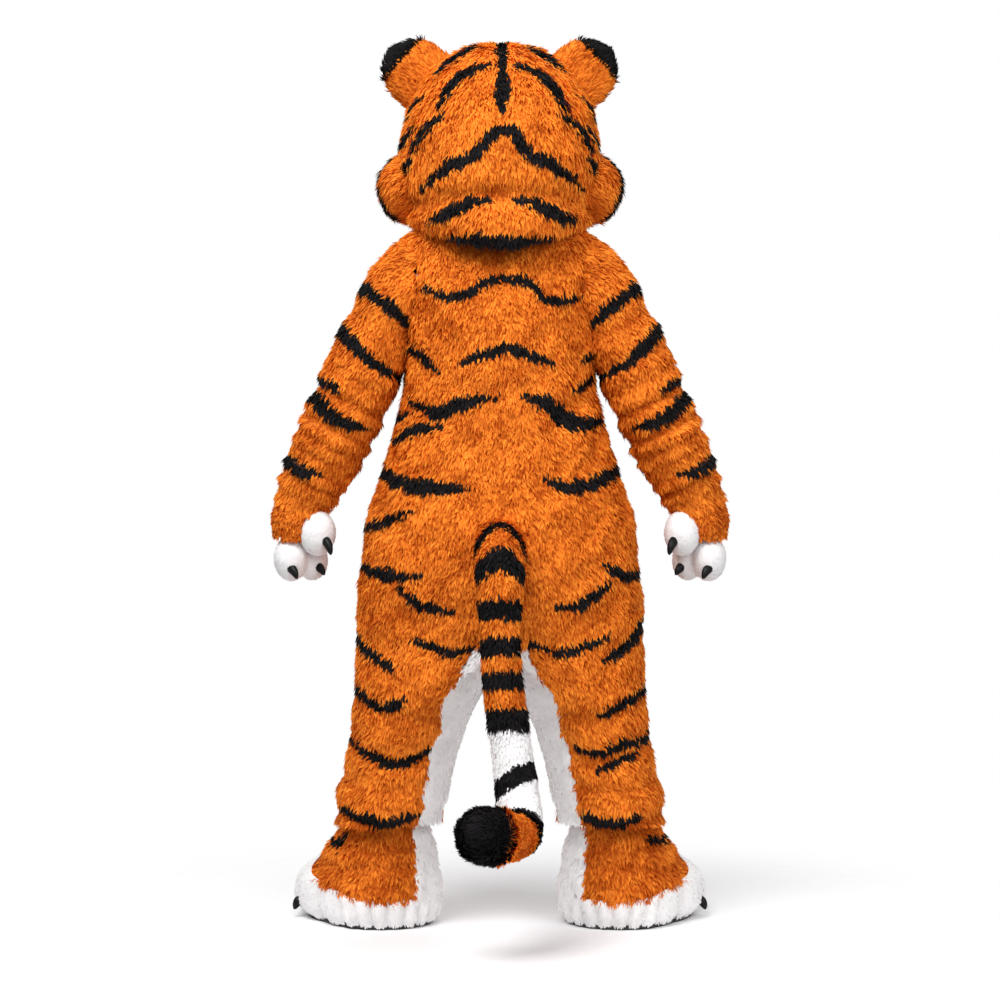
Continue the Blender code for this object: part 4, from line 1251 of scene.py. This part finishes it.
def make_boots():
    angles = np.linspace(-np.pi, np.pi, 121)[:-1]
    foot, sole = foot_grid(angles), sole_grid(angles)
    gap, (back_edge, front_edge) = SEAM_ANGLES["boot"], np.radians(INNER_BOOT)
    outer = upper_grid(front_edge - 4 * QUARTER + gap, back_edge - gap, 56)
    inner = upper_grid(back_edge + gap, front_edge - gap, 16)
    white = flat_shade(WHITE)
    short = dict(length=0.008, width=0.0038, per_cm2=1.7, lift=18, soft=0.9)
    # Painted shade: these folds make the fur darker in the boot's folds.
    gathered = dict(folds=BOOT_FOLDS, both_sides=True)
    thick = dict(length=0.018, width=0.0048, per_cm2=1.2, lift=34, soft=0.85, **gathered)
    for name, side, turn in both_hands():
        furry_sheet(f"foot_{name}", turn(foot), True, white, WHITE, **short)
        # Painted shade: the boots' orange fur is made darker.
        furry_sheet(f"upper_{name}", turn(outer), False, leg_shades, ORANGE, dull=0.18, **gathered)
        furry_sheet(f"upper_inner_{name}", turn(inner), False, white, WHITE, **thick)
        solid_piece(f"sole_{name}", turn(sole), SOLE)
        for number in range(TOES):
            ends = [end * (side, 1, 1) for end in toe_claw_ends(number)]
            solid_piece(f"toe_claw_{name}_{number + 1}", claw_grid(*ends), CLAW)


# ---------------------------------------------------------------- the setting
def make_camera(scene):
    """Level, behind the costume, as the photo's was."""
    camera = bpy.data.objects.new("camera", bpy.data.cameras.new("camera"))
    scene.collection.objects.link(camera)
    camera.location = (0.0, 5.0, 0.9 + FLOOR)
    camera.rotation_euler = (math.radians(90), 0, math.radians(180))
    camera.data.lens, camera.data.sensor_width = 84.7, 36
    scene.camera = camera


def make_floor(scene):
    """A white floor that fades out round the costume, so that only the shadow on it shows."""
    mesh = bpy.data.meshes.new("floor")
    mesh.from_pydata([(-3, -3, 0), (3, -3, 0), (3, 3, 0), (-3, 3, 0)], [], [(0, 1, 2, 3)])
    floor = bpy.data.objects.new("floor", mesh)
    scene.collection.objects.link(floor)
    floor.location.z = FLOOR
    material, tree, shader = node_material("floor")
    where = add(tree, "TexCoord").outputs["Object"]
    far = add(tree, "VectorMath", {0: where}, operation="LENGTH").outputs["Value"]
    ends = {"From Min": 0.40, "From Max": 1.35, "To Min": 1.0, "To Max": 0.0}
    fade = add(tree, "MapRange", {"Value": far, **ends}, interpolation_type="SMOOTHSTEP")
    alpha = fade.outputs["Result"]
    fill_in(tree, shader, {"Base Color": (0.94, 0.94, 0.95, 1), "Roughness": 0.6, "Alpha": alpha})
    mesh.materials.append(material)


def make_lights(scene):
    """White all round for the camera, a little dimmer for the costume, and three soft lamps."""
    world = bpy.data.worlds.new("studio")
    scene.world = world
    world.use_nodes = True
    tree = world.node_tree
    seen = add(tree, "LightPath").outputs["Is Camera Ray"]
    level = add(tree, "MapRange", {"Value": seen, "To Min": 0.52}).outputs["Result"]
    fill_in(tree, tree.nodes["Background"], {0: (1, 1, 1, 1), 1: level})
    for name, place, size, power in (
        ("key", (1.5, 2.9, 3.3), 2.4, 220),
        ("fill", (-2.2, 3.4, 1.2), 2.6, 70),
        ("front", (-1.0, -3.2, 3.6), 2.8, 50),
    ):
        light = bpy.data.lights.new(name, "AREA")
        light.energy, light.size = power, size
        lamp = bpy.data.objects.new(name, light)
        lamp.location = place
        aim = np.array([0, 0, -0.4]) - np.array(place)
        tilt = math.acos(-aim[2] / np.linalg.norm(aim))
        lamp.rotation_euler = (tilt, 0, math.atan2(aim[1], aim[0]) - QUARTER)
        scene.collection.objects.link(lamp)


make_camera(bpy.context.scene)
make_floor(bpy.context.scene)
make_lights(bpy.context.scene)
bpy.context.scene.view_settings.view_transform = "Standard"
make_trunk()
make_sleeves()
make_legs()
make_tail()
make_head()
make_ears()
make_face_forms()
make_paws()
make_boots()
